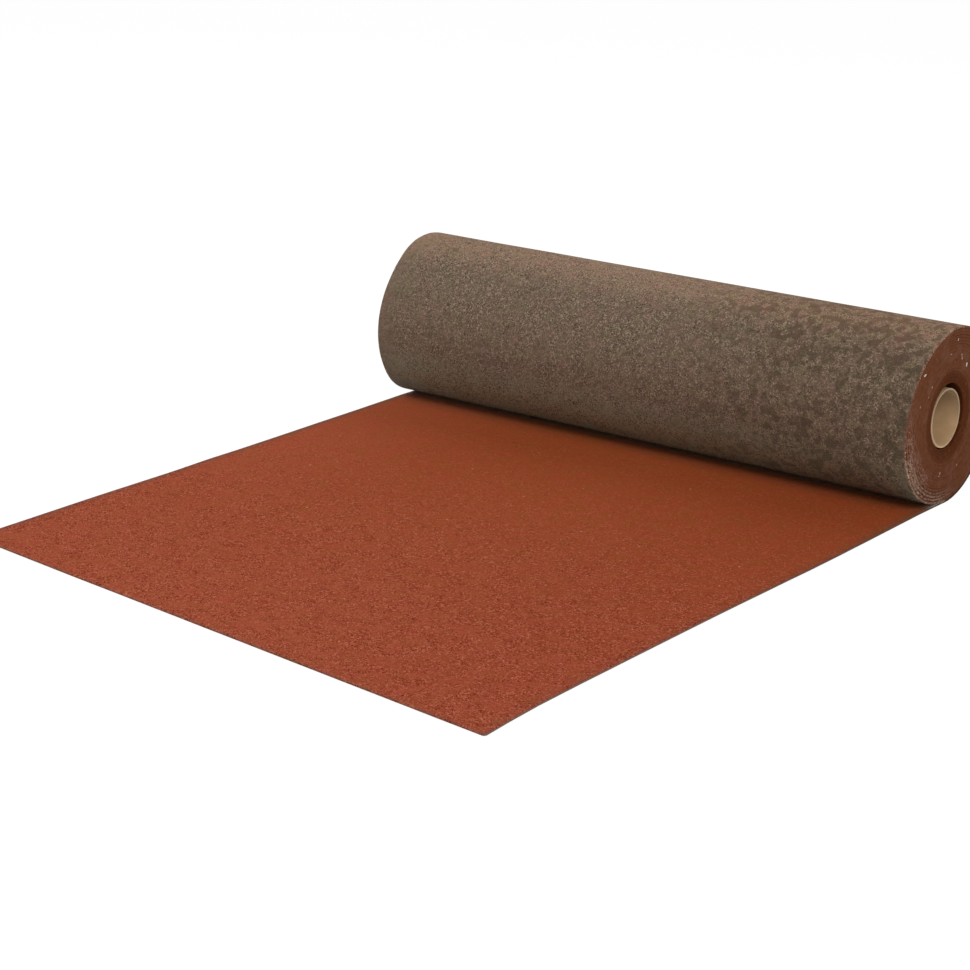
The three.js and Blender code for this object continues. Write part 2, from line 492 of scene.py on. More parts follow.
@dataclass(frozen=True)
class MineralFinish:
    """Fine terracotta granules pressed into the weather side of the felt.

    Towards the roll they turn darker and browner and differ less. Towards +X the face is darker:
    painted shade. Near the roll and in the crease under it the colour is lifted and greyed: painted
    light in the roll's shade. The spans say where along X or Y a tint sets in and where it is full,
    in metres.
    """

    base: Colour = (0.451, 0.0995, 0.0458)
    # Darker and browner towards the roll, less so at the -X side.
    nearer_roll: Colour = (0.347, 0.0735, 0.0222)
    # Painted shade: the face darkens towards +X, where less light falls.
    painted_shade_rightwards: Colour = (0.915, 0.870, 0.860)
    # Painted light: the face is brightened towards the roll, in place of light in its shade.
    painted_light_near_roll: Colour = (1.10, 1.14, 1.05)
    red: Colour = (1.03, 0.960, 1.05)
    olive: Colour = (0.96, 1.05, 0.92)
    dark: Colour = (0.185, 0.0215, 0.0062)
    light: Colour = (0.625, 0.178, 0.102)
    fleck: Colour = (0.620, 0.340, 0.210)
    rubbed: Colour = (0.55, 1.03, 1.55)
    # Painted light: lifts and greys the dark crease under the roll.
    painted_crease_light: Colour = (1.14, 1.42, 1.75)
    # Painted light: a pale grey over the deepest part of the crease, which lies in shade.
    painted_crease_fill: Colour = (0.620, 0.390, 0.270)
    frayed: Colour = (0.82, 1.43, 1.95)
    nearer_roll_along: Pair = (-0.44, 0.34)
    nearer_roll_across: Pair = (-0.36, -0.10)
    painted_shade_across: Pair = (0.06, 0.36)
    painted_light_along: Pair = (0.20, 0.31)
    painted_crease_along: Pair = (0.300, 0.322)
    crease_fill_along: Pair = (0.328, 0.345)
    crisp_along: Pair = (-0.24, 0.22)
    fleck_rarity: Pair = (0.9997, 0.9999)
    grain: float = 1.6 * MM
    fine_grain: float = 0.96 * MM
    clump: float = 5 * MM
    cloud: float = 20 * MM
    blot: float = 25 * MM
    patch: float = 70 * MM
    patch_reach: float = 0.12

    def make(self) -> Material:
        """Builds the material.

        Returns:
            The material.
        """
        g = ShaderGraph("mineral_face")
        distance, own = g.grains(self.grain)
        _, fine_own = g.grains(self.fine_grain)
        tone, fine_tone = g.channel(own, 0), g.channel(fine_own, 1)
        clump = g.noise(self.clump, 3, 0.6)
        rubbed = g.product(g.point_value("worn"), g.ramp(clump, (0.3, 0.6), (0.75, 1.0)))
        colour = g.mix(rubbed, self.ground(g), self.rubbed, Blend.MULTIPLY)
        colour = g.mix(g.point_value("frayed"), colour, self.frayed, Blend.MULTIPLY)
        crisp = self.crisp_share(g)
        for value, span, share, tint in (
            (tone, (0.55, 1.0), 0.94, self.light), (fine_tone, (0.52, 0.0), 1.0, self.dark),
            (clump, (0.50, 0.30), 0.26, self.dark), (clump, (0.52, 0.72), 0.19, self.light),
        ):
            colour = g.mix(g.product(g.ramp(value, span, (0.0, share)), crisp), colour, tint)
        colour = g.tint(colour, g.channel(own, 2), self.fleck_rarity, self.fleck)
        relief = g.bump(g.math("SUBTRACT", 1.0, distance), distance=0.35 * MM, strength=0.4)
        relief = g.bump(clump, distance=0.5 * MM, strength=0.3, under=relief)
        return g.finish(colour, g.ramp(fine_tone, (0, 1), (0.85, 0.98)), relief, 0.03)

    def ground(self, g: ShaderGraph) -> Socket:
        """The colour of the face as a whole, before its single granules.

        Args:
            g: The material's tree.

        Returns:
            The colour.
        """
        patch = g.product(g.noise(self.patch, 3), self.patch_reach)
        along, across = g.axis(1), g.axis(0)
        backwards = g.ramp(g.math("ADD", along, patch), self.nearer_roll_along)
        nearer_roll_share = g.product(backwards, g.ramp(across, self.nearer_roll_across, (0.36, 1.0)))
        colour = g.mix(nearer_roll_share, self.base, self.nearer_roll)
        # Painted shade towards +X, then painted light near the roll and in the crease under it.
        for value, span, tint in (
            (g.math("ADD", across, patch), self.painted_shade_across, self.painted_shade_rightwards),
            (along, self.painted_light_along, self.painted_light_near_roll), (along, self.painted_crease_along, self.painted_crease_light),
        ):
            colour = g.tint(colour, value, span, tint, blend=Blend.MULTIPLY)
        # Painted light over the deepest part of the crease.
        colour = g.tint(colour, along, self.crease_fill_along, self.painted_crease_fill, 0.92)
        blot = g.noise(self.blot, 2, 0.5)
        for span, tint in (((0.50, 0.66), self.red), ((0.50, 0.34), self.olive)):
            colour = g.tint(colour, blot, span, tint, blend=Blend.MULTIPLY)
        return colour

    def crisp_share(self, g: ShaderGraph) -> Socket:
        """How strongly granules differ: less towards the roll, and in clouds where dust has settled."""
        clouds = g.ramp(g.noise(self.cloud, 2, 0.5), (0.36, 0.58), (0.50, 1.15))
        return g.product(g.ramp(g.axis(1), self.crisp_along, (1.05, 0.24)), clouds)


@dataclass(frozen=True)
class SandedFinish:
    """Fine sand dusted on the bitumen of the felt's back.

    It is paler on top of the roll, partly dust and partly painted top light, and rubbed bald in spots
    towards the +X end. Low at the front it is lighter and greener: painted light in the shade above
    the laid length, which also cancels red light from it. Towards the +X end, and on a band beside it
    at mid height, it is darker: painted shade. The spans say where along an axis that sets in and
    where it is full.
    """

    base: Colour = (0.222, 0.158, 0.112)
    # Paler on top: partly dust, partly painted top light.
    dusty: Colour = (0.410, 0.255, 0.172)
    # Painted light low at the front, greener to cancel red light from the laid length.
    painted_low_fill: Colour = (0.345, 0.392, 0.275)
    # Painted light at the very bottom: less red, more green and blue, to cancel red light from the laid
    # length.
    painted_lowest_fill: Colour = (0.70, 1.17, 1.50)
    dark: Colour = (0.070, 0.048, 0.034)
    light: Colour = (0.500, 0.385, 0.276)
    rosy: Colour = (1.08, 0.975, 1.00)
    olive: Colour = (0.96, 1.03, 0.88)
    bald: Colour = (0.575, 0.57, 0.55)
    # Painted shade: the back darkens towards the +X end, where less light falls.
    worn: Colour = (0.920, 0.900, 0.872)
    # Painted shade on the back beside the +X end, at mid height.
    painted_end_shade: Colour = (0.86, 0.875, 0.845)
    rim: Colour = (0.480, 0.340, 0.260)
    pale_top_height: Pair = (0.176, 0.212)
    pale_top_edge: float = 0.02
    low_fill_height: Pair = (0.088, 0.030)
    low_fill_along: Pair = (0.37, 0.35)
    low_fill_right: Pair = (0.18, 0.335)
    low_fill_left: Pair = (-0.310, -0.350)
    lowest_fill_height: Pair = (0.042, 0.014)
    end_shade_across: Pair = (0.305, 0.338)
    end_shade_from: Pair = (0.066, 0.095)
    end_shade_to: Pair = (0.168, 0.140)
    bald_height: Pair = (0.150, 0.186)
    bald_across: Pair = (-0.03, 0.20)
    shade_towards_end: Pair = (0.0, 0.26)
    sandy_right: Pair = (0.08, 0.24)
    sandy_left: Pair = (-0.300, -0.350)
    sandy_rim: Pair = (0.338, 0.352)
    grain: float = 1.3 * MM
    fine_grain: float = 0.91 * MM
    clump: float = 5 * MM
    bald_size: float = 9.5 * MM
    tint_size: float = 15 * MM
    drift_size: float = 20 * MM

    def make(self) -> Material:
        """Builds the material.

        Returns:
            The material.
        """
        g = ShaderGraph("sanded_back")
        distance, own = g.grains(self.grain)
        _, fine_own = g.grains(self.fine_grain)
        clump = g.noise(self.clump, 3, 0.6)
        bald = self.bald_share(g, clump)
        colour = g.mix(bald, self.ground(g, clump), self.bald, Blend.MULTIPLY)
        sandy = g.product(self.sandy_share(g), g.math("SUBTRACT", 1.0, g.product(bald, 0.65)))
        pale = g.ramp(g.channel(own, 0), (0.42, 0.98), (0, 0.70))
        pale = g.product(pale, g.ramp(clump, (0.36, 0.60), (0.55, 1.25)), sandy)
        colour = g.mix(pale, colour, self.light)
        pits = g.product(g.ramp(g.channel(fine_own, 1), (0.56, 0.05)), sandy)
        colour = g.mix(pits, colour, self.dark)
        colour = g.tint(colour, clump, (0.48, 0.30), self.dark, 0.40)
        # Painted shade towards the +X end.
        colour = g.tint(colour, g.axis(0), self.shade_towards_end, self.worn, blend=Blend.MULTIPLY)
        rim = g.product(g.point_value("rim"), g.ramp(clump, (0.46, 0.58)))
        colour = g.mix(rim, colour, self.rim)
        relief = g.bump(g.math("SUBTRACT", 1.0, distance), distance=0.4 * MM, strength=0.5)
        relief = g.bump(clump, distance=0.6 * MM, strength=0.35, under=relief)
        return g.finish(colour, g.ramp(g.channel(own, 2), (0, 1), (0.82, 0.97)), relief, 0.06)

    def ground(self, g: ShaderGraph, clump: Socket) -> Socket:
        """The colour of the back as a whole, before its bald spots and its sand.

        Args:
            g: The material's tree.
            clump: Noise of the size of clumps of sand.

        Returns:
            The colour.
        """
        # Paler on top of the roll: partly dust, partly painted top light.
        settled = g.math("ADD", g.axis(2), g.product(clump, self.pale_top_edge))
        colour = g.tint(self.base, settled, self.pale_top_height, self.dusty)
        tone = g.noise(self.tint_size, 2, 0.5)
        for span, tint in (((0.52, 0.66), self.rosy), ((0.48, 0.34), self.olive)):
            colour = g.tint(colour, tone, span, tint, blend=Blend.MULTIPLY)
        # Painted light low at the front, and greener still at the very bottom.
        low_fill = self.low_fill_share(g)
        colour = g.mix(low_fill, colour, self.painted_low_fill)
        # Painted light at the very bottom, cancelling red light from the laid length.
        painted_lowest_fill = g.product(low_fill, g.ramp(g.axis(2), self.lowest_fill_height))
        colour = g.mix(painted_lowest_fill, colour, self.painted_lowest_fill, Blend.MULTIPLY)
        # Painted shade beside the +X end.
        return g.mix(self.end_shade_share(g), colour, self.painted_end_shade, Blend.MULTIPLY)

    def bald_share(self, g: ShaderGraph, clump: Socket) -> Socket:
        """Where the sand has come off in ragged spots, mostly towards the +X end.

        Args:
            g: The material's tree.
            clump: Noise of the size of clumps of sand.

        Returns:
            The share, from 0 to 1, or more high on the roll.
        """
        ragged = g.math("ADD", g.noise(self.bald_size, 2, 0.5), g.product(clump, 0.34))
        high = g.ramp(g.axis(2), self.bald_height, (1.0, 1.5))
        reach = g.product(high, g.ramp(g.axis(0), self.bald_across, (0.10, 1.0)))
        return g.product(g.ramp(ragged, (0.665, 0.755)), reach)

    def low_fill_share(self, g: ShaderGraph) -> Socket:
        """Where light is painted low at the front, over the laid length and away from both ends.

        Args:
            g: The material's tree.

        Returns:
            The share, from 0 to 1.
        """
        return g.product(
            g.ramp(g.axis(2), self.low_fill_height), g.ramp(g.axis(1), self.low_fill_along),
            g.ramp(g.axis(0), self.low_fill_left, (1.0, 0.3)), g.ramp(g.axis(0), self.low_fill_right, (1.0, 0.40)),
        )

    def end_shade_share(self, g: ShaderGraph) -> Socket:
        """Where shade is painted on the back beside the +X end, at mid height."""
        height = g.product(g.ramp(g.axis(2), self.end_shade_from), g.ramp(g.axis(2), self.end_shade_to))
        return g.product(g.ramp(g.axis(0), self.end_shade_across), height)

    def sandy_share(self, g: ShaderGraph) -> Socket:
        """How thickly the sand lies, thinner in clouds and beside both ends.

        Args:
            g: The material's tree.

        Returns:
            The share, from 0 to 1.
        """
        across = g.axis(0)
        return g.product(
            g.ramp(g.noise(self.drift_size, 3, 0.6), (0.38, 0.58), (0.60, 1.0)),
            g.ramp(across, self.sandy_left, (1.0, 0.35)), g.ramp(across, self.sandy_rim, (1.0, 0.5)),
            g.ramp(across, self.sandy_right, (1.0, 0.97)),
        )


@dataclass(frozen=True)
class CutEdgeFinish:
    """Bitumen and smeared red mineral on the sheet's cut edges, scuffed paler in places."""

    base: Colour = (0.185, 0.061, 0.026)
    # Also painted shade round the bore and in its mouths, through the tone.
    deep: Colour = (0.112, 0.029, 0.008)
    dull: Colour = (0.215, 0.088, 0.050)
    scuffed: Colour = (0.290, 0.150, 0.108)
    pale: Colour = (0.405, 0.262, 0.198)
    dust: Colour = (0.520, 0.370, 0.270)
    # Near-black: painted shade with some dirt.
    grime: Colour = (0.036, 0.028, 0.022)
    rubbed: Colour = (0.285, 0.152, 0.120)
    streak: float = 7 * MM
    lane: float = 0.34
    speck: float = 1.9 * MM
    smear: float = 4 * MM
    patch: float = 17 * MM

    def make(self) -> Material:
        """Builds the material.

        Returns:
            The material.
        """
        g = ShaderGraph("cut_edge")
        distance, own = g.grains(self.speck)
        smear, patch = g.noise(self.smear, 3, 0.6), g.noise(self.patch, 2, 0.5)
        along, ring = g.point_value("along"), g.point_value("ring")
        lanes = g.vector(g.math("DIVIDE", along, self.streak), g.math("DIVIDE", ring, self.lane))
        fibre = g.noise(1.0, 3, 0.65, lanes)
        scuff = g.point_value("scuff")
        colour = g.tint(self.base, patch, (0.50, 0.68), self.dull, 0.75)
        # The tone is painted shade round the bore and in its mouths, with a random tone for each turn.
        colour = g.tint(colour, g.point_value("tone"), (0, 1), self.deep)
        colour = g.tint(colour, smear, (0.5, 0.28), self.deep, 0.5)
        colour = g.tint(colour, smear, (0.52, 0.75), self.scuffed, 0.35)
        for span, share, tint in (
            ((0.49, 0.58), 1.0, self.scuffed), ((0.58, 0.68), 0.8, self.pale),
            ((0.45, 0.36), 0.8, self.deep),
        ):
            colour = g.mix(g.product(scuff, g.ramp(fibre, span, (0, share))), colour, tint)
        rim = g.product(g.point_value("rim"), g.ramp(smear, (0.44, 0.54)))
        colour = g.mix(rim, colour, self.dust)
        dot = g.product(g.ramp(g.channel(own, 0), (0.80, 0.90)), g.ramp(distance, (0.55, 0.30)))
        dot = g.product(dot, g.ramp(scuff, (0.2, 1.0), (0.0, 0.85)))
        colour = g.mix(dot, colour, self.dust)
        colour = g.mix(g.point_value("worn"), colour, self.rubbed)
        # Painted shade with some dirt: low on the outer turn's back and at the foot of the laid length's side
        # edges.
        grime_and_shade_share = g.product(g.point_value("grime"), g.ramp(smear, (0.3, 0.6), (1, 0.85)))
        colour = g.mix(grime_and_shade_share, colour, self.grime)
        relief = g.bump(smear, distance=0.35 * MM, strength=0.35)
        relief = g.bump(fibre, distance=0.25 * MM, strength=0.3, under=relief)
        return g.finish(colour, g.ramp(smear, (0.3, 0.7), (0.72, 0.92)), relief, 0.05)


@dataclass(frozen=True)
class BoardFinish:
    """Grey-brown cardboard wound in plies, darker above than below: painted shade."""

    base: Colour = (0.815, 0.545, 0.306)
    dark: Colour = (0.600, 0.400, 0.215)
    light: Colour = (0.780, 0.580, 0.400)
    # Painted shade: the bore's upper wall is darker, being shaded from above.
    painted_top_shade: Colour = (0.430, 0.300, 0.170)
    top_shade_height: Pair = (0.078, 0.122)
    top_shade_edge: float = 0.012
    fibre: float = 1.6 * MM
    fibre_stretch: float = 0.25
    cloud: float = 22 * MM

    def make(self) -> Material:
        """Builds the material.

        Returns:
            The material.
        """
        g = ShaderGraph("core_board")
        drawn_out = {"Vector": g.place, "Scale": (self.fibre_stretch, 1, 1)}
        fibre = g.noise(self.fibre, 4, 0.65, g.node("ShaderNodeMapping", drawn_out).outputs[0])
        cloud = g.noise(self.cloud, 3, 0.6)
        colour = g.tint(self.base, cloud, (0.35, 0.68), self.dark, 0.6)
        colour = g.tint(colour, fibre, (0.5, 0.75), self.light, 0.4)
        colour = g.tint(colour, fibre, (0.42, 0.25), self.dark, 0.3)
        # Painted shade: darker higher up, where the bore's wall faces down.
        risen = g.math("ADD", g.axis(2), g.product(cloud, self.top_shade_edge))
        colour = g.tint(colour, risen, self.top_shade_height, self.painted_top_shade, 0.9)
        colour = g.mix(g.product(g.point_value("cut"), 0.35), colour, self.light)
        relief = g.bump(fibre, distance=0.15 * MM, strength=0.4)
        return g.finish(colour, g.ramp(fibre, (0.3, 0.7), (0.8, 0.93)), relief, 0.08)


@dataclass(frozen=True)
class GrainFinish:
    """Loose grains, each of its own shade between two colours, and a few pale ones."""

    name: str
    dark: Colour
    light: Colour
    pale: Colour
    pale_share: float
    size: float = 2.5 * MM

    def make(self) -> Material:
        """Builds the material.

        Returns:
            The material.
        """
        g = ShaderGraph(self.name)
        _, own = g.grains(self.size)
        colour = g.mix(g.channel(own, 0), self.dark, self.light)
        rarity = (1 - self.pale_share, 1.01 - self.pale_share)
        colour = g.tint(colour, g.channel(own, 1), rarity, self.pale)
        relief = g.bump(g.noise(0.6 * MM, 2), distance=0.1 * MM, strength=0.3)
        return g.finish(colour, g.ramp(g.channel(own, 2), (0, 1), (0.75, 0.95)), relief, 0.12)


@dataclass(frozen=True)
class ChipFinish:
    """Stone chips and felt shreds, from reddish to cream."""

    reddish: Colour = (0.480, 0.250, 0.180)
    cream: Colour = (0.860, 0.800, 0.700)
    grain: float = 0.9 * MM

    def make(self) -> Material:
        """Builds the material.

        Returns:
            The material.
        """
        g = ShaderGraph("edge_chip")
        grain = g.noise(self.grain, 3, 0.6)
        colour = g.mix(g.point_value("shade"), self.reddish, self.cream)
        colour = g.tint(colour, grain, (0.5, 0.3), self.reddish, 0.5)
        roughness = g.ramp(grain, (0.3, 0.7), (0.7, 0.9))
        return g.finish(colour, roughness, g.bump(grain, distance=0.2 * MM, strength=0.4), 0.12)


# The felt ----------------------------------------------------------------------------------------


class Finish(IntEnum):
    """Material numbers on the felt."""

    MINERAL = 0
    SANDED = 1
    EDGE = 2


class Side(IntEnum):
    """The two ends of the roll, as the direction along X that each faces."""

    LEFT = -1
    RIGHT = 1

    @property
    def column(self) -> int:
        """Number of the outermost column of points on this side."""
        return 0 if self is Side.LEFT else -1

    @property
    def flip(self) -> bool:
        """Whether faces that are listed from the mineral face outwards have to be turned over."""
        return self is Side.LEFT


class Lane(IntEnum):
    """Places in the roll's noise, far enough apart for each use of it to differ."""

    EDGE = 3
    TONE = 5
    BROKEN = 7
    WAVE = 12
    GROOVE = 13
    ROUNDING = 31
    SCUFF = 40
    RAGGED = 51
    PATCHES = 55
    SWAY = 60
    SEAM = 66
    CROWN = 77
    BED = 90
    LUMPS = 120


@dataclass
class Winding:
    """The spiral in which the felt is wound, out of round and pushed about as handling left it.

    A step is a place along the winding, counted from the start edge in the bore, and its share is
    the step over the last one. A place across the sheet runs from -0.5 at its -X edge to 0.5.
    Angles run from the bottom of the roll forwards, in degrees. The sag is given for the -X and the
    +X end, and the bore's drift along Y and Z. The flare of the -X end and the press on the +X end
    are tables of angles and millimetres.
    """

    width: float = 700 * MM
    thickness: float = 2.65 * MM
    laid_length: float = 746 * MM
    end_skew: float = 90 * MM
    whole_turns: int = 19
    start_angle: float = -67.5
    gap: float = 0.49 * MM
    bore_radius: float = 35.15 * MM
    bore_drift: Pair = (-2.2 * MM, -2.4 * MM)
    sag: Pair = (4 * MM, 7 * MM)
    sag_span: Pair = (0.0, 150.0)
    sag_lean: float = 0.7
    sag_fade: float = 4.0
    flattening: float = 2 * MM
    flat_span: Pair = (90.0, 180.0)
    telescope: float = 5 * MM
    telescope_bow: float = 0.45
    wander: float = 0.35 * MM
    wander_turns: float = 2.7
    edge_dent: float = 2.5 * MM
    dent_span: Pair = (95.0, 170.0)
    dent_fade: int = 8
    outer_shares: Pair = (0.80, 0.945)
    press: tuple[Pair, ...] = (
        (20, 0), (32, 0.7), (46, 1.3), (60, 0.4), (72, 1.5), (84, 1.9), (96, 1.1), (108, 0.8), (125, 0),
    )
    flare: tuple[Pair, ...] = (
        (0, 5), (33, 5), (42, 4.2), (52, 2.3), (60, 1.2), (73, 0.6), (86, 0), (105, -0.9), (125, -1.0),
        (143, 0), (152, 1.3), (165, 2.0), (185, 2.0), (230, 0), (300, 0), (345, 5), (360, 5),
    )
    steps: int = 96
    seed: int = 11
    axis_y: float = field(init=False)

    def __post_init__(self) -> None:
        """Works out what follows from the sizes."""
        self.pitch = self.thickness + self.gap
        self.turns = self.whole_turns + (self.start_angle + 90) / 360
        self.last = round(self.turns * self.steps)
        self.roll_radius = self.bore_radius + self.pitch * self.turns + self.thickness
        quarter = self.last - self.steps / 4
        back = self.radius(quarter, 0.5) + self.thickness + self.drift(quarter)[0]
        self.axis_y = float((self.laid_length + self.end_skew - back) / 2)
        self.ripple = Ripple(self.seed)

    def from_bottom(self, step: Number) -> np.ndarray:
        """Angle of a step from the bottom of the roll, forwards, in degrees from 0 to 360."""
        back = (self.last - np.asarray(step, float)) / self.steps
        return 360 * (np.ceil(back) - back)

    def lean(self, step: Number) -> np.ndarray:
        """Angle of a step from the bottom of the roll, forwards, in degrees from -180 to 180."""
        return (self.from_bottom(step) + 180) % 360 - 180

    def angle(self, step: Number) -> np.ndarray:
        """Direction of a step from the roll's axis, in radians from +Y towards +Z."""
        return -np.pi / 2 + (self.last - np.asarray(step, float)) * 2 * np.pi / self.steps

    @staticmethod
    def hump(angle: np.ndarray, span: Pair, lean: float = 1.0) -> np.ndarray:
        """Rises from 0 to 1 and falls back over a span of angles, sooner with a lean below 1."""
        share = np.clip((angle - span[0]) / (span[1] - span[0]), 0, 1)
        return np.sin(np.pi * share**lean) ** 2

    def radius(self, step: Number, across: Number) -> np.ndarray:
        """Radius of the mineral face.

        Args:
            step: Place along the winding.
            across: Place across the sheet.

        Returns:
            The radius, in metres.
        """
        step, across = np.asarray(step, float), np.asarray(across, float)
        share, turn = step / self.last, self.from_bottom(step)
        sag = part_way(self.sag, across + 0.5) * share**self.sag_fade
        bulge = sag * self.hump(turn, self.sag_span, self.sag_lean)
        flattened = self.flattening * share * self.hump(turn, self.flat_span)
        return self.bore_radius + self.pitch * step / self.steps + bulge - flattened

    def drift(self, step: Number) -> tuple[np.ndarray, np.ndarray]:
        """How far a turn's centre hangs from the last turn's, along Y and Z."""
        share = 1 - np.asarray(step, float) / self.last
        return self.bore_drift[0] * share, self.bore_drift[1] * share

    def slip(self, step: Number) -> np.ndarray:
        """How far the sheet has slipped along the roll's axis.

        Args:
            step: Place along the winding.

        Returns:
            The slip towards +X, in metres.
        """
        step = np.asarray(step, float)
        share, phase = step / self.last, step / self.steps * 2 * np.pi / self.wander_turns
        wander = self.wander * np.sin(phase) * np.sin(np.pi * share)
        return self.telescope * (share**self.telescope_bow - 0.5) + wander

    def dent(self, step: Number, side: Side) -> np.ndarray:
        """How far the edge of the outer turns is pushed in.

        Args:
            step: Place along the winding.
            side: Which end.

        Returns:
            The depth in metres, below 0 where the edge stands out.
        """
        turn, share = self.from_bottom(step), np.asarray(step, float) / self.last
        outer = smoothstep(*self.outer_shares, share)
        if side is Side.LEFT:
            return -read_table(self.flare, turn) * MM * outer
        pushed = self.edge_dent * self.hump(turn, self.dent_span) * share**self.dent_fade
        return pushed + read_table(self.press, turn) * MM * outer

    def wound(self, step: Number, radius: Number, x: Number) -> np.ndarray:
        """Places at a radius from the roll's axis.

        Args:
            step: Place along the winding.
            radius: Distance from the axis, in metres.
            x: Place along the axis, in metres.

        Returns:
            Places, as an array that ends in 3.
        """
        step, radius, x = np.broadcast_arrays(*(np.asarray(v, float) for v in (step, radius, x)))
        turn, (over, up) = self.angle(step), self.drift(step)
        y = self.axis_y + radius * np.cos(turn) + over
        return np.stack([x, y, self.roll_radius + radius * np.sin(turn) + up], -1)

    def end_place(self, angle: float, radius: float) -> np.ndarray:
        """A place on the +X end of the roll.

        Args:
            angle: Angle from the bottom of the roll.
            radius: Distance from the roll's axis, in metres.

        Returns:
            The place on the turn whose edge lies there.
        """
        step = self.last - (np.arange(1, self.whole_turns + 1) - angle / 360) * self.steps
        x = self.width / 2 + self.slip(step) - self.dent(step, Side.RIGHT)
        places = self.wound(step, self.radius(step, 0.5) + self.thickness / 2, x)
        away = np.hypot(places[:, 1] - self.axis_y, places[:, 2] - self.roll_radius)
        return places[int(np.argmin(np.abs(away - radius)))]


@dataclass
class EdgeLine:
    """One cut edge of the winding, with a value for each step.

    Attributes:
        side: The end that it lies on.
        step: Place along the winding.
        radius: Radius of the mineral face, in metres.
        arc: Place along the sheet, in metres.
        x: Place along the roll's axis, in metres.
        scuff: How scuffed the edge is, from 0 to 1.
        seam: How far the seam outside it stands open, from 0 to 1.
        setback: How far the edge's two corners lie behind its middle, in metres.
        lane: Where this edge reads the roll's noise.
    """

    side: Side
    step: np.ndarray
    radius: np.ndarray
    arc: np.ndarray
    x: np.ndarray
    scuff: np.ndarray
    seam: np.ndarray
    setback: np.ndarray
    lane: int


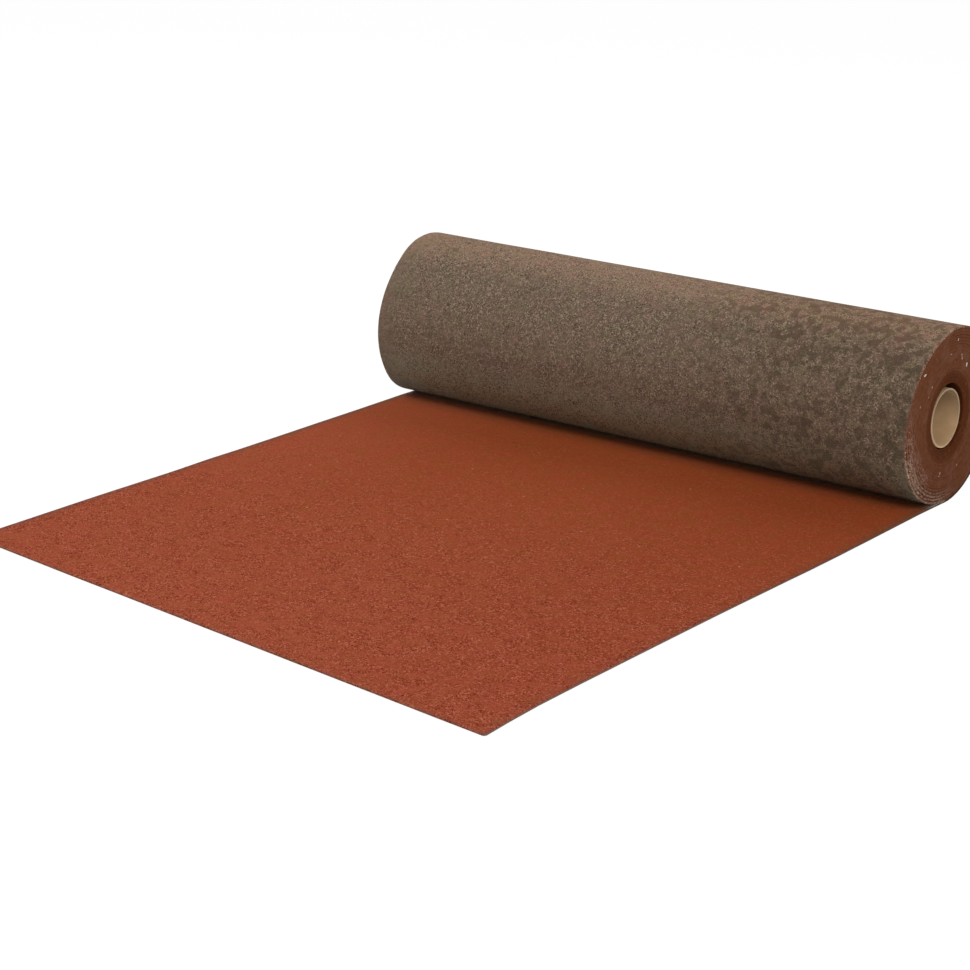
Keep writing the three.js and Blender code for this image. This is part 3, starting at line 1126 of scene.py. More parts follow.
@dataclass
class FeltRoll(Winding):
    """The wound and laid sheet as one mesh, with its wear.

    Pairs of sizes are those of a closed and of an open seam. The sways of the laid length's side
    edges are tables of its share and millimetres outwards, and the wear is one of the distance from
    a side edge and how far the granules are rubbed. While the mesh is made, ends holds rows of point
    numbers along the cut edges of the winding, and sheet holds tables of them on the laid length.
    """

    PROFILE = ("face", "inner", "middle", "outer", "back")
    EDGE_SKINS = (Finish.MINERAL, Finish.EDGE, Finish.EDGE, Finish.EDGE)
    # Painted shade with some dirt on the laid length's side edges, from the top down.
    SIDE_GRIME_AND_SHADE = np.array((0.3, 0.7, 1.0))
    SIDE_RINGS = np.array((0.2, 0.5, 0.8))

    groove_depth: Pair = (0.03 * MM, 3.6 * MM)
    seam_round: Pair = (0.04 * MM, 0.5 * MM)
    seam_setback: Pair = (0.02 * MM, 0.6 * MM)
    last_setback: float = 0.3 * MM
    last_round: float = 0.36 * MM
    edge_round: float = 0.45 * MM
    edge_jitter: float = 0.5 * MM
    jitter_size: float = 22 * MM
    rounding_size: float = 9 * MM
    edge_crown: float = 0.12 * MM
    edge_ragged: float = 0.9 * MM
    ragged_size: float = 5 * MM
    ragged_share: float = 0.946
    groove_size: float = 12 * MM
    dust_size: float = 14 * MM
    scuff_steps: float = 9.0
    seam_steps: float = 14.0
    patch_steps: float = 23.0
    side_wave: float = 0.4 * MM
    side_bulge: float = 0.05 * MM
    side_lift: float = 0.9 * MM
    side_lift_size: float = 110 * MM
    bed_lift: float = 0.15 * MM
    bed_size: float = 60 * MM
    skin_lumps: float = 0.45 * MM
    skin_lump_size: Pair = (55 * MM, 90 * MM)
    skin_border: int = 6
    dent_reach: float = 40 * MM
    corner_round: float = 3.2 * MM
    end_bulge: float = 0.3 * MM
    edge_wear: tuple[Pair, ...] = ((0.0, 1.0), (2.0 * MM, 1.0), (4.5 * MM, 0.80), (9.0 * MM, 0.25))
    end_fray: tuple[Pair, ...] = ((0.0, 0.5), (3 * MM, 0.0))
    end_rows: tuple[float, ...] = (6.5, 5, 3.6, 2.4, 1.4, 0.7, 0.2, 0)
    sway_left: tuple[Pair, ...] = (
        (0, 5.0), (0.06, 4.9), (0.10, 4.0), (0.17, 2.7), (0.28, 1.2), (0.35, -0.1), (0.46, -0.4),
        (0.53, 0.4), (0.62, -1.1), (0.74, -0.7), (0.85, -1.6), (1, -1.6),
    )
    sway_right: tuple[Pair, ...] = (
        (0, 0), (0.07, -0.9), (0.14, -0.2), (0.20, 0.6), (0.27, 1.15), (0.35, 0.8), (0.43, -0.4),
        (0.55, -1.3), (0.69, -1.8), (0.80, -1.6), (0.90, -1.3), (0.955, 0.6), (1, 3.2),
    )
    columns: int = 128
    laid_rows: int = 120
    shaded_mouth_columns: int = 9

    def __post_init__(self) -> None:
        """Starts an empty mesh, and places the columns across the sheet closer beside its edges."""
        super().__post_init__()
        self.draft = MeshDraft()
        self.ends: dict[Side, Rows] = {}
        self.sheet: Rows = {}
        beside = 0.5 - np.transpose(self.edge_wear)[0] / self.width
        between = np.linspace(-beside[-1], beside[-1], self.columns - 2 * len(beside) + 3)
        self.across = np.concatenate([-beside[:-1], between, beside[-2::-1]])

    @property
    def edge_heights(self) -> tuple[float, float, float]:
        """Heights of the laid length's cut edge above its underside, from the top down."""
        return self.thickness - self.edge_round, self.thickness / 2, self.edge_round

    def scuff(self, step: np.ndarray, side: Side) -> np.ndarray:
        """How scuffed the cut edge is: most at the front, less low down, and in stray patches.

        Args:
            step: Places along the winding.
            side: Which end.

        Returns:
            The share at each step, from 0 to 1.
        """
        turn, share, lean = self.from_bottom(step), step / self.last, self.lean(step)
        along = self.ripple.layered(step / self.scuff_steps, Lane.SCUFF * side)
        reach = share + 0.05 * along
        inner = 0.46 + 0.16 * smoothstep(55, 100, turn)
        front = zone(turn, (22, 42), (70, 120)) * smoothstep(inner, inner + 0.16, reach)
        front = front * smoothstep(1.0, 0.95, share)
        low = 0.75 * zone(lean, (-30, 5), (40, 70)) * smoothstep(0.72, 0.85, reach)
        patches = smoothstep(0.25, 0.8, self.ripple.layered(step / self.patch_steps, Lane.PATCHES * side))
        patches = 0.25 * patches * smoothstep(0.25, 0.6, share)
        return np.clip(np.maximum.reduce([front, low, patches]) * (0.85 + 0.4 * along), 0, 1)

    def open_seam(self, step: np.ndarray, side: Side) -> np.ndarray:
        """How far the seam outside each step stands open.

        Args:
            step: Places along the winding.
            side: Which end.

        Returns:
            The share at each step, from 0 to 1.
        """
        turn, share = self.from_bottom(step), step / self.last
        flicker = 0.75 + 0.5 * self.ripple.layered(step / self.seam_steps, Lane.SEAM * side)
        low = 0.8 * zone(self.lean(step), (-25, 5), (50, 85)) * smoothstep(0.64, 0.80, share)
        over_bore = 0.42 * smoothstep(0.27, 0.20, share) * zone(turn, (140, 165), (190, 215))
        top = 0.36 * smoothstep(0.55, 0.70, share) * zone(turn, (155, 175), (195, 220))
        outermost = smoothstep(0.885, 0.893, share) * smoothstep(75, 45, turn)
        return np.clip(np.maximum.reduce([low, over_bore, top, outermost]) * flicker, 0, 1)

    def edge_line(self, side: Side) -> EdgeLine:
        """Works out one cut edge of the winding.

        Args:
            side: Which end.

        Returns:
            The edge, step by step.
        """
        step, lane = np.arange(self.last + 1), Lane.EDGE * side
        radius, scuff, seam = self.radius(step, side / 2), self.scuff(step, side), self.open_seam(step, side)
        arc = np.cumsum(radius) * 2 * np.pi / self.steps
        jitter = self.ripple.layered(arc / self.jitter_size, lane) * self.edge_jitter * (0.35 + 0.9 * scuff)
        x = side * (self.width / 2 + np.minimum(jitter, 0) - self.dent(step, side)) + self.slip(step)
        setback = part_way(self.seam_setback, seam)
        setback[-self.steps :] = self.last_setback
        return EdgeLine(side, step, radius, arc, x, scuff, seam, setback, lane)

    def wound_edge(self, side: Side) -> Rows:
        """Adds the points of one end of the winding.

        The turns' edges are pressed and smeared together except low at the front: there the seams
        between the outer turns stand open.

        Args:
            side: Which end.

        Returns:
            Rows of point numbers, one point for each step: from the mineral face over the cut edge
            to the back, and the bottom of the groove beyond it.
        """
        line, t = self.edge_line(side), self.thickness
        step, arc, x, lane = line.step, line.arc, line.x, line.lane
        rounding = part_way(self.seam_round, line.seam)
        rounding = rounding * (1 + 0.35 * self.ripple.at(arc / self.rounding_size, lane + Lane.ROUNDING))
        rounding[-self.steps :] = self.last_round
        crown = self.ripple.at(arc / self.ragged_size, lane + Lane.CROWN)
        crown = crown * self.edge_crown * (0.3 + line.scuff)
        ragged = self.ripple.layered(arc / self.ragged_size, lane + Lane.RAGGED)
        ragged = np.maximum(ragged, 0) * self.edge_ragged
        behind = x - side * line.setback
        torn = behind - side * ragged * (step / self.last > self.ragged_share)
        tone, rim, grime = self.edge_values(line)
        rows = {}
        for name, height, place, outwards in zip(
            self.PROFILE, (0.0, rounding, t / 2, t - rounding, t),
            (behind, x, x + side * crown, x, torn), (0, 0.3, 0.85, 1, 1),
        ):
            rows[name] = self.draft.add(
                self.wound(step, line.radius + height, place), scuff=line.scuff, tone=tone, along=arc,
                rim=rim * outwards, grime=grime * outwards, ring=step / self.steps + 0.85 * height / t,
            )
        rows["groove"] = self.groove(line, tone)
        return rows

    def groove(self, line: EdgeLine, tone: np.ndarray) -> np.ndarray:
        """Adds the bottom of the groove between each turn and the next.

        Args:
            line: The cut edge that it runs beside.
            tone: How dark that edge is.

        Returns:
            Point numbers, one for each step up to a turn before the last one.
        """
        near = line.step[: self.last - self.steps + 1]
        radius, arc, seam = line.radius[near], line.arc[near], line.seam[near]
        beyond = line.radius[near + self.steps]
        uneven = 0.8 + 0.2 * self.ripple.at(arc / self.groove_size, line.lane + Lane.GROOVE)
        deep = np.maximum(part_way(self.groove_depth, seam) * uneven, line.setback[near])
        deep = deep + np.maximum(beyond - radius - self.thickness - self.gap, 0) * 1.5
        places = self.wound(near, (radius + self.thickness + beyond) / 2, line.x[near] - line.side * deep)
        return self.draft.add(
            places, scuff=line.scuff[near] * (1 - seam), tone=np.maximum(tone[near], seam), along=arc,
            ring=near / self.steps + 0.92,
        )

    def edge_values(self, line: EdgeLine) -> tuple[np.ndarray, np.ndarray, np.ndarray]:
        """What the points of the cut edge carry for its finish.

        Args:
            line: The cut edge.

        Returns:
            How dark it is, with painted shade towards the bore, how much dust lies on its rim and how much
            painted shade with some dirt lies low on the outer turn, each from 0 to 1.
        """
        turn, share, lean = self.from_bottom(line.step), line.step / self.last, self.lean(line.step)
        # Painted shade with some dirt on the outer turn, low at the back.
        grime = smoothstep(0.94, 0.96, share) * zone(lean, (-140, -100), (-4, 16))
        # Painted shade in the bowl round the bore, with a random tone for each turn.
        tone = smoothstep(0.30, 0.10, share) + 0.22 * self.ripple.at(share * 19, Lane.TONE)
        dusty = 0.14 + 0.75 * smoothstep(118, 132, turn) + 0.80 * smoothstep(88, 62, turn)
        rim = smoothstep(0.945, 0.948, share) * zone(turn, (-2, 8), (180, 205)) * dusty
        second = smoothstep(0.70, 0.88, share) * zone(lean, (-15, 12), (60, 90))
        broken = np.clip(0.85 + 0.45 * self.ripple.layered(line.arc / self.dust_size, Lane.BROKEN), 0, 1)
        return np.clip(tone + 0.5 * grime, 0, 1), np.maximum(rim, 0.85 * second) * broken, grime

    def laid_shares(self) -> tuple[np.ndarray, np.ndarray]:
        """Places of the laid length's rows along its length, closer beside the free end.

        Returns:
            The share of the laid length at each row, and how far each row is from the free end.
        """
        even = np.linspace(0, 1, self.laid_rows + 1)[1:]
        end = 1 - np.array(self.end_rows) * MM / self.laid_length
        shares = np.concatenate([even[even < end[0] - 0.002], end])
        return shares, (1 - shares) * self.laid_length

    def laid_places(self, shares: np.ndarray, from_end: np.ndarray) -> tuple[np.ndarray, np.ndarray]:
        """Places of the laid length's points over the floor.

        Args:
            shares: Share of the laid length at each row.
            from_end: How far each row is from the free end, in metres.

        Returns:
            Places along X and along Y, with a row for each share.
        """
        across = self.across
        y = self.axis_y - shares[:, None] * (self.laid_length + self.end_skew * (across + 0.5))
        pulled = np.clip(self.corner_round - from_end, 0, None)
        pulled = self.corner_round - np.sqrt(np.clip(self.corner_round**2 - pulled**2, 0, None))
        wave = self.ripple.layered(shares * 5.0, Lane.SWAY) * self.side_wave * smoothstep(0, 0.1, shares)
        left, right = (read_table(sway, shares)[:, None] * MM for sway in (self.sway_left, self.sway_right))
        near = np.abs(2 * across) ** 6
        x = self.slip(self.last) + 2 * across * (self.width / 2 - pulled)[:, None]
        x = x - near * np.sign(across) * wave[:, None]
        return x + near * np.where(across > 0, right, -left), y

    def lift(self, x: np.ndarray, y: np.ndarray, shares: np.ndarray) -> np.ndarray:
        """How far the laid length stands off the floor.

        Args:
            x: Places across.
            y: Places along.
            shares: Share of the laid length at each place.

        Returns:
            The height, in metres, never below 0.
        """
        out = x / (self.width / 2)
        wave = 0.5 + 0.5 * self.ripple.layered(y / self.side_lift_size, Lane.WAVE + x / 0.5, 2)
        bed = 0.5 + 0.5 * self.ripple.layered(x / self.bed_size, Lane.BED + y / self.bed_size, 2)
        corner = smoothstep(0.80, 0.97, shares) * smoothstep(0.3, 0.9, out)
        raised = smoothstep(0.55, 1.0, np.abs(out)) * wave * self.side_lift + bed * self.bed_lift
        return smoothstep(0.05, 0.35, shares) * (1 - corner) * raised

    def side_wear(self, shares: np.ndarray) -> np.ndarray:
        """How far the granules beside the laid length's side edges are rubbed.

        Args:
            shares: Share of the laid length at each row, as a column.

        Returns:
            The share, with a row for each row of the laid length.
        """
        from_side = (0.5 - np.abs(self.across)) * self.width
        worn = read_table(self.edge_wear, from_side) * smoothstep(0, 0.04, shares)
        worn = worn * (from_side < 1.05 * self.edge_wear[-1][0])
        return worn * np.where(self.across > 0, 0.35 + 0.5 * smoothstep(0.35, 0.05, shares), 1.0)

    def add_sheet(self) -> None:
        """Adds the points of the laid length: top and bottom, and the cut edge down each side."""
        shares, from_end = self.laid_shares()
        x, y = self.laid_places(shares, from_end)
        down = shares[:, None]
        lift = self.lift(x, y, down)
        inset = x * (1 - (self.edge_round + 0.1 * MM) * 2 / self.width)
        self.sheet["top"] = self.draft.add(
            np.stack([inset, y, self.thickness + lift], -1), worn=self.side_wear(down),
            frayed=read_table(self.end_fray, from_end)[:, None], loose=smoothstep(0.05, 0.65, down),
        )
        self.sheet["bottom"] = self.draft.add(np.stack([inset, y, lift], -1))
        for side in Side:
            edge, along, foot = (place[:, side.column, None] for place in (x, y, lift))
            bulge = side * np.array((0, self.side_bulge, 0))
            places = np.broadcast_arrays(edge + bulge, along, foot + np.array(self.edge_heights))
            # The side edges darken towards the roll and towards their foot: painted shade with some dirt.
            self.sheet[side.name] = self.draft.add(
                np.stack(places, -1), scuff=0.6, worn=0.85, along=-along, ring=self.SIDE_RINGS,
                grime=smoothstep(0.75, 0.0, down) * self.SIDE_GRIME_AND_SHADE,
            )

    def skin_sag(self, steps: np.ndarray, inner: np.ndarray) -> np.ndarray:
        """How far the roll's skin lies below its full radius, nothing at its borders.

        Args:
            steps: Steps of the rows.
            inner: Places of the columns across the sheet.

        Returns:
            The depth in metres, with a row for each step.
        """
        (along, across), border = self.skin_lump_size, self.skin_border
        arc = self.angle(steps)[:, None] * self.roll_radius
        lumps = self.ripple.layered(arc / along, Lane.LUMPS + inner * self.width / across, 2)
        away = zone(steps, (steps[0], steps[0] + border), (steps[-1] - border, steps[-1]))[:, None]
        return (0.5 - 0.5 * lumps) * self.skin_lumps * away * (1 - np.abs(2 * inner) ** 8)

    def across_rows(self, steps: np.ndarray, outside: bool) -> np.ndarray:
        """Adds the points across the sheet on the roll's outside or in its bore.

        Args:
            steps: Steps of the rows.
            outside: True for the back on the outside, False for the mineral face in the bore.

        Returns:
            A table of point numbers, with a row for each step.
        """
        inner = self.across[1:-1]
        radius = self.radius(steps[:, None], inner)
        if outside:
            radius = radius + self.thickness - self.skin_sag(steps, inner)
        x = inner * self.width + self.slip(steps)[:, None]
        for side in Side:
            beside = np.clip(1 - (0.5 - side * inner) * self.width / self.dent_reach, 0, 1)
            x = x - side * self.dent(steps, side)[:, None] * beside
        # The bore's face carries full tone: painted shade where its mouths take the cut-edge finish.
        middle = self.draft.add(self.wound(steps[:, None], radius, x), tone=0.0 if outside else 1.0)
        left, right = (self.ends[side]["back" if outside else "face"][steps] for side in Side)
        return np.column_stack([left, middle, right])

    def mesh(self, materials: list[Material]) -> Piece:
        """Builds the felt.

        Args:
            materials: Materials in the order of Finish.

        Returns:
            The felt as one closed mesh object.
        """
        for side in Side:
            self.ends[side] = self.wound_edge(side)
        self.add_sheet()
        for side in Side:
            self.close_end(side)
        # The bore's mouths take the dark cut-edge finish: painted shade in the gap round the tube.
        mouth = self.shaded_mouth_columns
        bore = self.across_rows(np.arange(self.steps + 1), outside=False)
        self.draft.grid(bore[:, :mouth], Finish.EDGE, True)
        self.draft.grid(bore[:, mouth - 1 : 1 - mouth], Finish.MINERAL, True)
        self.draft.grid(bore[:, -mouth:], Finish.EDGE, True)
        skin = self.across_rows(np.arange(self.last - self.steps, self.last + 1), outside=True)
        self.draft.grid(skin, Finish.SANDED)
        self.close_start(bore)
        self.close_crease(skin)
        self.close_free_end()
        return self.draft.build("felt_roll", materials)

    def close_end(self, side: Side) -> None:
        """Adds the faces of one end of the roll: the cut edge of each turn and the grooves between.

        Args:
            side: Which end.
        """
        rows = self.ends[side]
        groove = rows["groove"]
        pairs = [(rows[a], rows[b]) for a, b in zip(self.PROFILE[:-1], self.PROFILE[1:])]
        for a, b in (*pairs, (rows["back"][: len(groove)], groove), (groove, rows["face"][self.steps :])):
            self.draft.quads(a, b, Finish.EDGE, side.flip)

    def close_start(self, bore: np.ndarray) -> None:
        """Adds the sheet's start edge in the bore, and the groove behind it.

        Args:
            bore: Point numbers of the mineral face in the bore.
        """
        names = (*self.PROFILE[1:], "groove")
        edge = np.array([[self.ends[side][name][0] for side in Side] for name in names])
        self.draft.face([*bore[0], *edge[0, ::-1]], Finish.EDGE)
        self.draft.grid(edge, Finish.EDGE)
        self.draft.face([*edge[-1], *bore[self.steps, ::-1]], Finish.MINERAL)

    def close_crease(self, skin: np.ndarray) -> None:
        """Adds the crease under the roll, and joins the laid length to the last turn.

        Args:
            skin: Point numbers of the back on the roll's outside.
        """
        face = self.across_rows(np.array([self.last]), outside=False)[0]
        left, right = (self.ends[side]["groove"][-1] for side in Side)
        self.draft.face([*skin[0, ::-1], left, right], Finish.SANDED)
        self.draft.face([*face, right, left], Finish.MINERAL)
        top, bottom = np.vstack([face, self.sheet["top"]]), np.vstack([skin[-1], self.sheet["bottom"]])
        self.draft.grid(top, Finish.MINERAL, True)
        self.draft.grid(bottom, Finish.SANDED)
        for side in Side:
            start = [self.ends[side][name][-1] for name in self.PROFILE[1:-1]]
            edge = np.vstack([start, self.sheet[side.name]])
            table = np.column_stack([top[:, side.column], edge, bottom[:, side.column]])
            for k, finish in enumerate(self.EDGE_SKINS):
                self.draft.quads(table[:, k], table[:, k + 1], finish, side.flip)

    def close_free_end(self) -> None:
        """Adds the cut face of the free end, over which the knife has smeared the granules."""
        points = np.concatenate(self.draft.points)
        top, bottom = self.sheet["top"][-1], self.sheet["bottom"][-1]
        rows = [top]
        for k, height in enumerate(self.edge_heights):
            line = points[bottom] + (points[top] - points[bottom]) * height / self.thickness
            line[:, 1] -= self.end_bulge
            left, right = (self.sheet[side.name][-1][k] for side in Side)
            rows.append(np.array([left, *self.draft.add(line[1:-1], frayed=1.0), right]))
        self.draft.grid(np.array([*rows, bottom]), Finish.MINERAL, True)


# The core tube -----------------------------------------------------------------------------------


@dataclass
class CoreTube:
    """The cardboard tube and the seam of its inner ply."""

    outer_radius: float = 32.5 * MM
    wall: float = 2.2 * MM
    length: float = 699 * MM
    plies: int = 4
    ply_groove: float = 0.1 * MM
    ply_flat: Pair = (0.18, 0.82)
    oval: float = 0.004
    oval_phase: float = 0.7
    fray: float = 0.12 * MM
    fray_size: float = 0.5 * MM
    fray_lobes: int = 9
    mouth: float = 12 * MM
    seam_pitch: float = 150 * MM
    seam_width: float = 2.2 * MM
    seam_height: float = 0.25 * MM
    seam_inset: float = 2 * MM
    segments: int = 96
    rings: int = 24
    seed: int = 23
    centre: Vector = field(default_factory=Vector)

    def rim(self) -> list[tuple[float, float, float]]:
        """Profile of an end, from the outside in.

        Returns:
            For each point how far it lies behind the end, its radius, and how freshly cut it is.
        """
        outer, inner = self.outer_radius, self.outer_radius - self.wall
        rim = [(0.6 * MM, outer, 0.3), (0.15 * MM, outer - 0.1 * MM, 1)]
        for ply in range(self.plies):
            shown = 1.0 if ply < self.plies - 1 else 0.2
            rim += [(0.0, outer - self.wall * (ply + k) / self.plies, shown) for k in self.ply_flat]
            if ply < self.plies - 1:
                rim.append((self.ply_groove, outer - self.wall * (ply + 1) / self.plies, 0.4))
        return rim + [(0.15 * MM, inner + 0.1 * MM, 0.1), (0.6 * MM, inner, 0.0)]

    def mesh(self, material: Material) -> Piece:
        """Builds the tube.

        Args:
            material: The board's material.

        Returns:
            The tube as one closed mesh object.
        """
        rim, half = self.rim(), self.length / 2
        inwards = np.linspace(half - self.mouth, self.mouth - half, self.rings)
        profile = [(half - behind, radius, cut) for behind, radius, cut in rim]
        profile += [(x, self.outer_radius - self.wall, 0.0) for x in inwards]
        profile += [(behind - half, radius, cut) for behind, radius, cut in reversed(rim)]
        profile += [(-x, self.outer_radius, 0.0) for x in inwards]
        x, radius, cut = np.transpose(profile)[:, :, None]
        turn = np.linspace(0, 2 * np.pi, self.segments, endpoint=False)
        fray = Ripple(self.seed).layered(turn * self.fray_lobes, radius / self.fray_size) + 1
        x = x - np.sign(x) * fray * self.fray * cut
        radius = radius * np.minimum(1 + self.oval * np.cos(2 * turn + self.oval_phase), 1.0)
        places = np.stack([x, radius * np.cos(turn), radius * np.sin(turn)], -1) + np.array(self.centre)
        draft = MeshDraft()
        numbers = draft.add(places, cut=cut)
        draft.grid(np.pad(numbers, (0, 1), "wrap"), 0)
        return draft.build("core_tube_board", [material])

    def seam(self, material: Material) -> Piece:
        """Builds the lapped edge of the inner ply, which winds along the bore.

        Args:
            material: The board's material.

        Returns:
            The seam as a plain mesh object.
        """
        graph = GeometryGraph("ply_seam")
        radius = graph.number("Radius", self.outer_radius - self.wall)
        pitch = graph.number("Pitch", self.seam_pitch)
        length = graph.number("Length", self.length - 2 * self.seam_inset)
        width = graph.number("Width", self.seam_width)
        height = graph.number("Height", self.seam_height)
        helix = graph.node("GeometryNodeCurveSpiral", {
            "Resolution": 64, "Rotations": graph.math("DIVIDE", length, pitch), "Start Radius": radius,
            "End Radius": radius, "Height": length,
        })
        strip = graph.node("GeometryNodeCurvePrimitiveQuadrilateral", {
            "Width": graph.product(height, 2.0), "Height": width,
        })
        sweep = graph.node("GeometryNodeCurveToMesh", {
            "Curve": helix.outputs[0], "Profile Curve": strip.outputs[0], "Fill Caps": True,
        })
        start = (self.centre.x - self.length / 2 + self.seam_inset, self.centre.y, self.centre.z)
        lay = graph.node("GeometryNodeTransform", {
            "Geometry": sweep.outputs[0], "Rotation": (0, math.pi / 2, 0), "Translation": start,
        })
        return graph.finish(lay.outputs[0], material, "core_tube_seam")


# What lies on the felt ---------------------------------------------------------------------------


@dataclass
class LooseGrains:
    """Grains that lie loose on a surface of the felt.

    Attributes:
        name: Name of the piece.
        surface: The finish on which they lie.
        spread: How many lie on a square metre, at most.
        size: Their average size, in metres.
        slimness: How many times as long as wide the longest is.
        seed: What makes their places differ from another piece's.
        low: The corner of the box that holds them, towards -X, -Y and -Z.
        high: The opposite corner.
        follows: The point value that thins them out, or nothing.
        lean: How far one leans from the surface, in radians.
        turn: How far it is turned on the surface, in radians.
        width: Its width, as a share of the size.
        flatness: Its height, as a share of its width.
    """

    name: str
    surface: Finish
    spread: float
    size: float
    slimness: float
    seed: int
    low: tuple[float, float, float] = (-1.0, -1.0, -1.0)
    high: tuple[float, float, float] = (1.0, 1.0, 1.0)
    follows: str = ""
    lean: Pair = (-0.6, 0.6)
    turn: Pair = (0.0, 6.28)
    width: Pair = (0.6, 1.3)
    flatness: Pair = (0.45, 0.8)

    def mesh(self, felt: Piece, material: Material) -> Piece:
        """Scatters the grains.

        Args:
            felt: The felt whose surface carries them.
            material: The grains' material.

        Returns:
            All grains as one plain mesh object.
        """
        graph = GeometryGraph(self.name)
        spread = graph.number("Spread", self.spread)
        size = graph.number("Size", self.size)
        slim = graph.number("Slimness", self.slimness)
        seed = graph.number("Seed", self.seed)
        if self.follows:
            value = graph.node("GeometryNodeInputNamedAttribute", {"Name": self.follows}, data_type="FLOAT")
            spread = graph.product(spread, value.outputs[0])
        scatter = graph.node("GeometryNodeDistributePointsOnFaces", {
            "Mesh": graph.source.outputs[0], "Selection": self.chosen(graph), "Density": spread, "Seed": seed,
        })
        bounds = (self.lean, self.lean, self.turn, self.width, (1.0, slim), self.flatness)
        *spin, wide, long, flat = (graph.between(*pair, seed, salt) for salt, pair in enumerate(bounds, 1))
        feeds = {0: scatter.outputs["Rotation"], 1: graph.vector(*spin)}
        turned = graph.node("FunctionNodeRotateEuler", feeds, rotation_type="EULER", space="LOCAL")
        wide = graph.product(size, wide)
        grain = graph.node("GeometryNodeMeshIcoSphere", {"Subdivisions": 1, "Radius": 0.5})
        place = graph.node("GeometryNodeInstanceOnPoints", {
            "Points": scatter.outputs["Points"], "Instance": grain.outputs[0], "Rotation": turned.outputs[0],
            "Scale": graph.vector(graph.product(wide, long), wide, graph.product(wide, flat)),
        })
        return graph.finish(place.outputs[0], material, self.name, felt)

    def chosen(self, graph: GeometryGraph) -> Socket:
        """Where grains may lie: on one finish, in the box between low and high.

        Args:
            graph: The grains' tree.

        Returns:
            The selection.
        """
        feeds = {2: graph.node("GeometryNodeInputMaterialIndex").outputs[0], 3: int(self.surface)}
        chosen = graph.node("FunctionNodeCompare", feeds, data_type="INT", operation="EQUAL").outputs[0]
        position = graph.node("GeometryNodeInputPosition").outputs[0]
        place = graph.node("ShaderNodeSeparateXYZ", {0: position}).outputs
        for axis in range(3):
            for operation, bound in (("GREATER_THAN", self.low[axis]), ("LESS_THAN", self.high[axis])):
                feeds = {0: place[axis], 1: bound}
                test = graph.node("FunctionNodeCompare", feeds, data_type="FLOAT", operation=operation)
                feeds = {0: chosen, 1: test.outputs[0]}
                chosen = graph.node("FunctionNodeBooleanMath", feeds, operation="AND").outputs[0]
        return chosen


@dataclass(frozen=True)
class Chip:
    """One chip stuck on the +X end of the roll, with its size in millimetres.

    Attributes:
        angle: Angle from the bottom of the roll, forwards, in degrees.
        radius: Distance from the roll's axis.
        length: Length.
        width: Width.
        tilt: Turn of its length from the +Y direction, in degrees.
        shade: Its colour, from 0, reddish, to 1, cream.
    """

    angle: float
    radius: float
    length: float
    width: float
    tilt: float
    shade: float


@dataclass
class EdgeChips:
    """Chips of stone and shreds of felt that stick to the +X end."""

    chips: tuple[Chip, ...] = (
        Chip(131, 87.8, 5.2, 2.2, 12, 0.95),
        Chip(213, 57.6, 6.4, 2.4, 80, 0.85),
        Chip(183, 82.3, 3.4, 1.6, 78, 0.5),
        Chip(197, 61.5, 6.0, 1.8, 105, 0.12),
        Chip(196, 64.5, 3.0, 1.4, 20, 0.25),
        Chip(132, 61.7, 2.6, 1.6, 60, 0.2),
        Chip(12, 63.0, 4.6, 1.8, 75, 0.25),
        Chip(14, 66.5, 3.2, 1.3, 150, 0.15),
        Chip(174, 68.6, 3.2, 1.3, 10, 0.3),
        Chip(109, 75.5, 3.0, 1.4, 70, 0.2),
        Chip(337, 64.6, 3.0, 1.5, 60, 0.15),
    )
    uneven: float = 0.25
    taper: float = 0.6
    flatness: float = 0.45
    seed: int = 31

    def mesh(self, roll: Winding, material: Material) -> Piece:
        """Builds the chips.

        Args:
            roll: The roll whose end carries them.
            material: The chips' material.

        Returns:
            All chips as one plain mesh object.
        """
        random = np.random.default_rng(self.seed)
        made = bmesh.new()
        shade = made.verts.layers.float.new("shade")
        for chip in self.chips:
            place = Vector(roll.end_place(chip.angle, chip.radius * MM))
            tilt, wide = math.radians(chip.tilt), chip.width * MM
            for corner in bmesh.ops.create_icosphere(made, subdivisions=2, radius=0.5)["verts"]:
                out, along, across = corner.co * (1 + self.uneven * random.uniform(-1, 1))
                across *= wide * (1 - self.taper * along)
                along *= chip.length * MM
                y = along * math.cos(tilt) - across * math.sin(tilt)
                z = along * math.sin(tilt) + across * math.cos(tilt)
                corner.co = place + Vector((out * wide * self.flatness, y, z))
                corner[shade] = chip.shade
        mesh = bpy.data.meshes.new("edge_chips")
        made.to_mesh(mesh)
        made.free()
        mesh.materials.append(material)
        return add_to_scene("edge_chips", mesh)


# The stage ---------------------------------------------------------------------------------------


@dataclass
class Viewpoint:
    """The camera, as a place and a direction to look in."""

    place: tuple[float, float, float]
    azimuth: float
    elevation: float
    roll: float
    focal_pixels: float
    sensor: float = 36.0
    clip: Pair = (0.05, 60.0)

    def make(self) -> Piece:
        """Builds the camera and makes it the scene's.

        Returns:
            The camera.
        """
        a, e, t = (math.radians(v) for v in (self.azimuth, self.elevation, self.roll))
        back = Vector((math.sin(a) * math.cos(e), -math.cos(a) * math.cos(e), math.sin(e)))
        right = Vector((math.cos(a), math.sin(a), 0))
        up = back.cross(right)
        across = math.cos(t) * right + math.sin(t) * up
        above = -math.sin(t) * right + math.cos(t) * up
        data = bpy.data.cameras.new("viewpoint")
        data.sensor_width = self.sensor
        data.lens = self.sensor * self.focal_pixels / FRAME_PIXELS
        data.clip_start, data.clip_end = self.clip
        camera = add_to_scene("viewpoint", data)
        turn = Matrix((across, above, back)).transposed().to_4x4()
        camera.matrix_world = Matrix.Translation(self.place) @ turn
        bpy.context.scene.camera = camera
        return camera


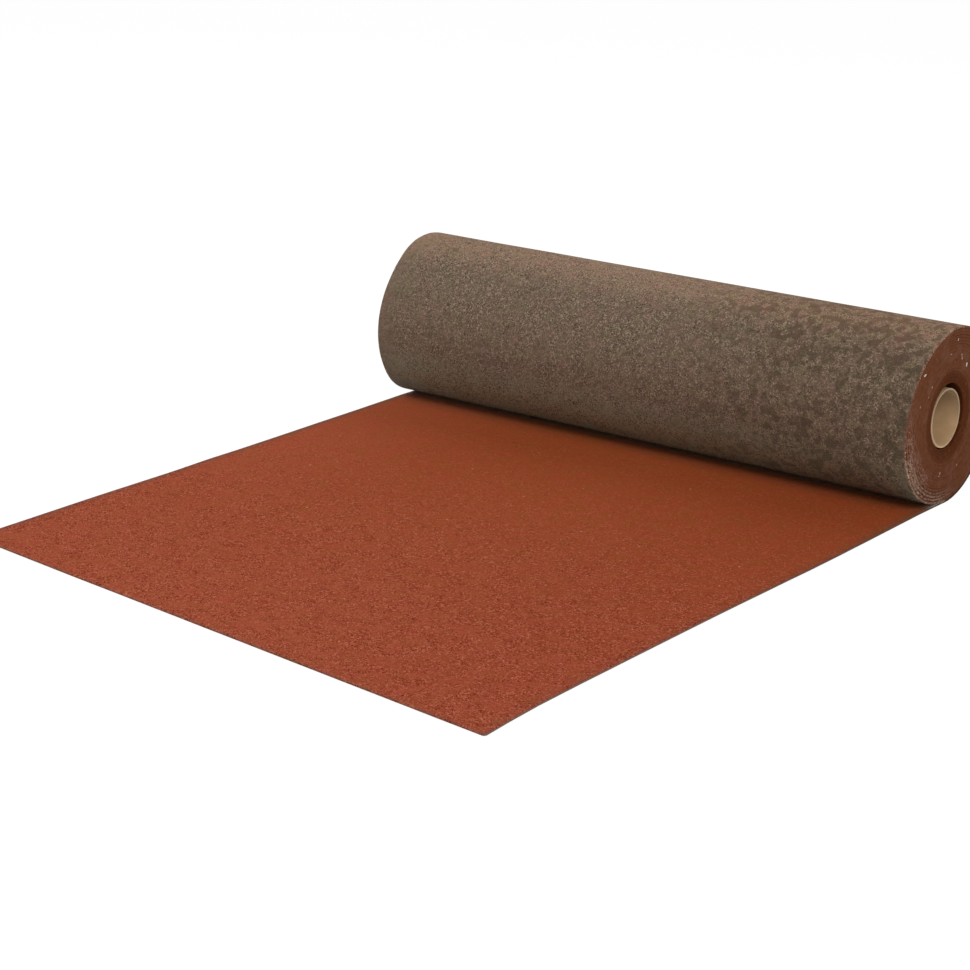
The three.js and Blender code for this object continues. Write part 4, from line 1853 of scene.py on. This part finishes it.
@dataclass(frozen=True)
class SoftBox:
    """A large square lamp that shines at the roll."""

    name: str
    place: tuple[float, float, float]
    power: float
    target: tuple[float, float, float] = (0.0, 0.1, 0.08)
    size: float = 1.8

    def make(self) -> Piece:
        """Builds the lamp.

        Returns:
            The lamp.
        """
        data = bpy.data.lights.new(self.name, "AREA")
        data.shape = "SQUARE"
        data.size = self.size
        data.energy = self.power
        lamp = add_to_scene(self.name, data)
        lamp.location = self.place
        aim = Vector(self.target) - Vector(self.place)
        lamp.rotation_euler = aim.to_track_quat("-Z", "Y").to_euler()
        return lamp


@dataclass
class Studio:
    """A pale floor under soft light, with a white background."""

    floor_colour: Colour = (0.80, 0.80, 0.80)
    shadow_share: float = 0.16
    seen_white: float = 1.13
    ambient: float = 0.26
    floor_size: float = 40.0
    floor_drop: float = 0.5 * MM
    lamps: tuple[SoftBox, ...] = (
        SoftBox("key_light", (-1.8, -1.6, 2.6), 42.6),
        SoftBox("fill_light", (2.6, -1.2, 1.9), 33.6),
        SoftBox("back_light", (0.0, 1.6, 2.0), 11.4),
    )

    def make(self) -> None:
        """Builds the background, the floor and the lamps."""
        self.make_world()
        self.make_floor()
        for lamp in self.lamps:
            lamp.make()

    def seen_share(self, graph: NodeGraph) -> Socket:
        """Tells what is seen from what is only lit.

        Args:
            graph: The tree that asks.

        Returns:
            1 for what the camera sees directly, in a gloss or through glass, and 0 for the rest.
        """
        rays = graph.node("ShaderNodeLightPath").outputs
        total = rays["Is Camera Ray"]
        for name in ("Is Glossy Ray", "Is Transmission Ray"):
            total = graph.math("MAXIMUM", total, rays[name])
        return total

    def make_world(self) -> None:
        """Lights the scene evenly from all round, and shows as white."""
        world = bpy.data.worlds.new("studio")
        world.use_nodes = True
        bpy.context.scene.world = world
        graph = NodeGraph(world.node_tree)
        feeds = {"Value": self.seen_share(graph), "To Min": self.ambient, "To Max": 1.0}
        strength = graph.node("ShaderNodeMapRange", feeds).outputs[0]
        background = graph.tree.nodes["Background"].inputs
        graph.feed(background["Color"], (1.0, 1.0, 1.0))
        graph.feed(background["Strength"], strength)

    def make_floor(self) -> Piece:
        """Builds the floor, white to the camera apart from the shadow on it.

        Returns:
            The floor.
        """
        material = bpy.data.materials.new("studio_floor")
        material.use_nodes = True
        graph = NodeGraph(material.node_tree)
        graph.tree.nodes.clear()
        plain = graph.node("ShaderNodeBsdfDiffuse", {"Color": self.floor_colour}).outputs[0]
        white = graph.node("ShaderNodeEmission", {"Strength": self.seen_white}).outputs[0]
        share = graph.product(self.seen_share(graph), 1 - self.shadow_share)
        mixed = graph.node("ShaderNodeMixShader", {0: share, 1: plain, 2: white}).outputs[0]
        graph.node("ShaderNodeOutputMaterial", {"Surface": mixed})
        half = self.floor_size / 2
        mesh = bpy.data.meshes.new("studio_floor")
        corners = [(-half, -half, 0), (half, -half, 0), (half, half, 0), (-half, half, 0)]
        mesh.from_pydata(corners, [], [(0, 1, 2, 3)])
        mesh.materials.append(material)
        floor = add_to_scene("studio_floor", mesh)
        floor.location.z = -self.floor_drop
        return floor


# Putting it together -----------------------------------------------------------------------------


def settle(piece: Piece, slot: str, *nodes: str) -> None:
    """Makes a finished piece ride on the roll's body and reports it.

    Args:
        piece: The piece.
        slot: The record's material slot for the piece; not used.
        nodes: CAD nodes that it stands for.
    """
    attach(piece, BODY)
    if nodes:
        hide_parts(*nodes)
    LOG.info("%s: %d faces", piece.name, len(piece.data.polygons))


def scatter_grains(roll: Winding, felt: Piece) -> list[Piece]:
    """Builds the pieces that lie loose on the felt.

    Args:
        roll: The roll.
        felt: Its felt as a mesh object.

    Returns:
        The granules, the grit on the back, the flecks and the grit on the cut edges.
    """
    front = roll.axis_y - roll.roll_radius
    red = GrainFinish("loose_mineral", dark=(0.13, 0.026, 0.013), light=(0.56, 0.170, 0.090),
                      pale=(0.62, 0.42, 0.26), pale_share=0.001).make()
    sand = GrainFinish("loose_sand", dark=(0.12, 0.09, 0.065), light=(0.36, 0.28, 0.20),
                       pale=(0.55, 0.47, 0.36), pale_share=0.06).make()
    cream = GrainFinish("edge_dust", dark=(0.26, 0.12, 0.08), light=(0.50, 0.33, 0.24),
                        pale=(0.72, 0.58, 0.45), pale_share=0.12).make()
    granules = LooseGrains("loose_granules", Finish.MINERAL, spread=21000.0, size=1.05 * MM, slimness=1.5,
                           seed=5, low=(-0.345, -1.0, 0.0), high=(0.35, front, 0.01), follows="loose")
    grit = LooseGrains("back_grit", Finish.SANDED, spread=6000.0, size=0.7 * MM, slimness=1.5, seed=6,
                       low=(-1.0, -1.0, 0.01))
    flecks = LooseGrains("edge_flecks", Finish.EDGE, spread=14000.0, size=0.8 * MM, slimness=2.6, seed=7,
                         low=(0.3, front, 0.004), follows="scuff")
    rim_grit = LooseGrains("rim_grit", Finish.EDGE, spread=300000.0, size=1.1 * MM, slimness=2.0, seed=8,
                           low=(0.3, 0.0, 0.045), follows="rim")
    pairs = ((granules, red), (grit, sand), (flecks, cream), (rim_grit, cream))
    return [grains.mesh(felt, material) for grains, material in pairs]


def main() -> None:
    """Builds the roll, the stage and the light."""
    logging.basicConfig(level=logging.INFO, format="%(name)s %(message)s")
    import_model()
    bpy.context.scene.view_settings.view_transform = "Standard"

    roll = FeltRoll()
    Viewpoint(
        place=(1.58156, -2.53387 + roll.axis_y, 0.87210),
        azimuth=35.9664, elevation=17.3042, roll=1.2807, focal_pixels=2710.3,
    ).make()

    felt = roll.mesh([MineralFinish().make(), SandedFinish().make(), CutEdgeFinish().make()])
    board = BoardFinish().make()
    low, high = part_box("core_tube")
    tube = CoreTube(centre=(low + high) / 2)
    core, seam = tube.mesh(board), tube.seam(board)
    granules, grit, flecks, rim_grit = scatter_grains(roll, felt)
    chips = EdgeChips().mesh(roll, ChipFinish().make())

    settle(felt, "mineral_felt", "felt_sheet")
    settle(core, "core_board", "core_tube")
    settle(seam, "core_board")
    settle(granules, "mineral_felt")
    settle(grit, "sanded_back")
    for piece in (flecks, rim_grit, chips):
        settle(piece, "cut_edge")
    Studio().make()


if __name__ == "__main__":
    main()
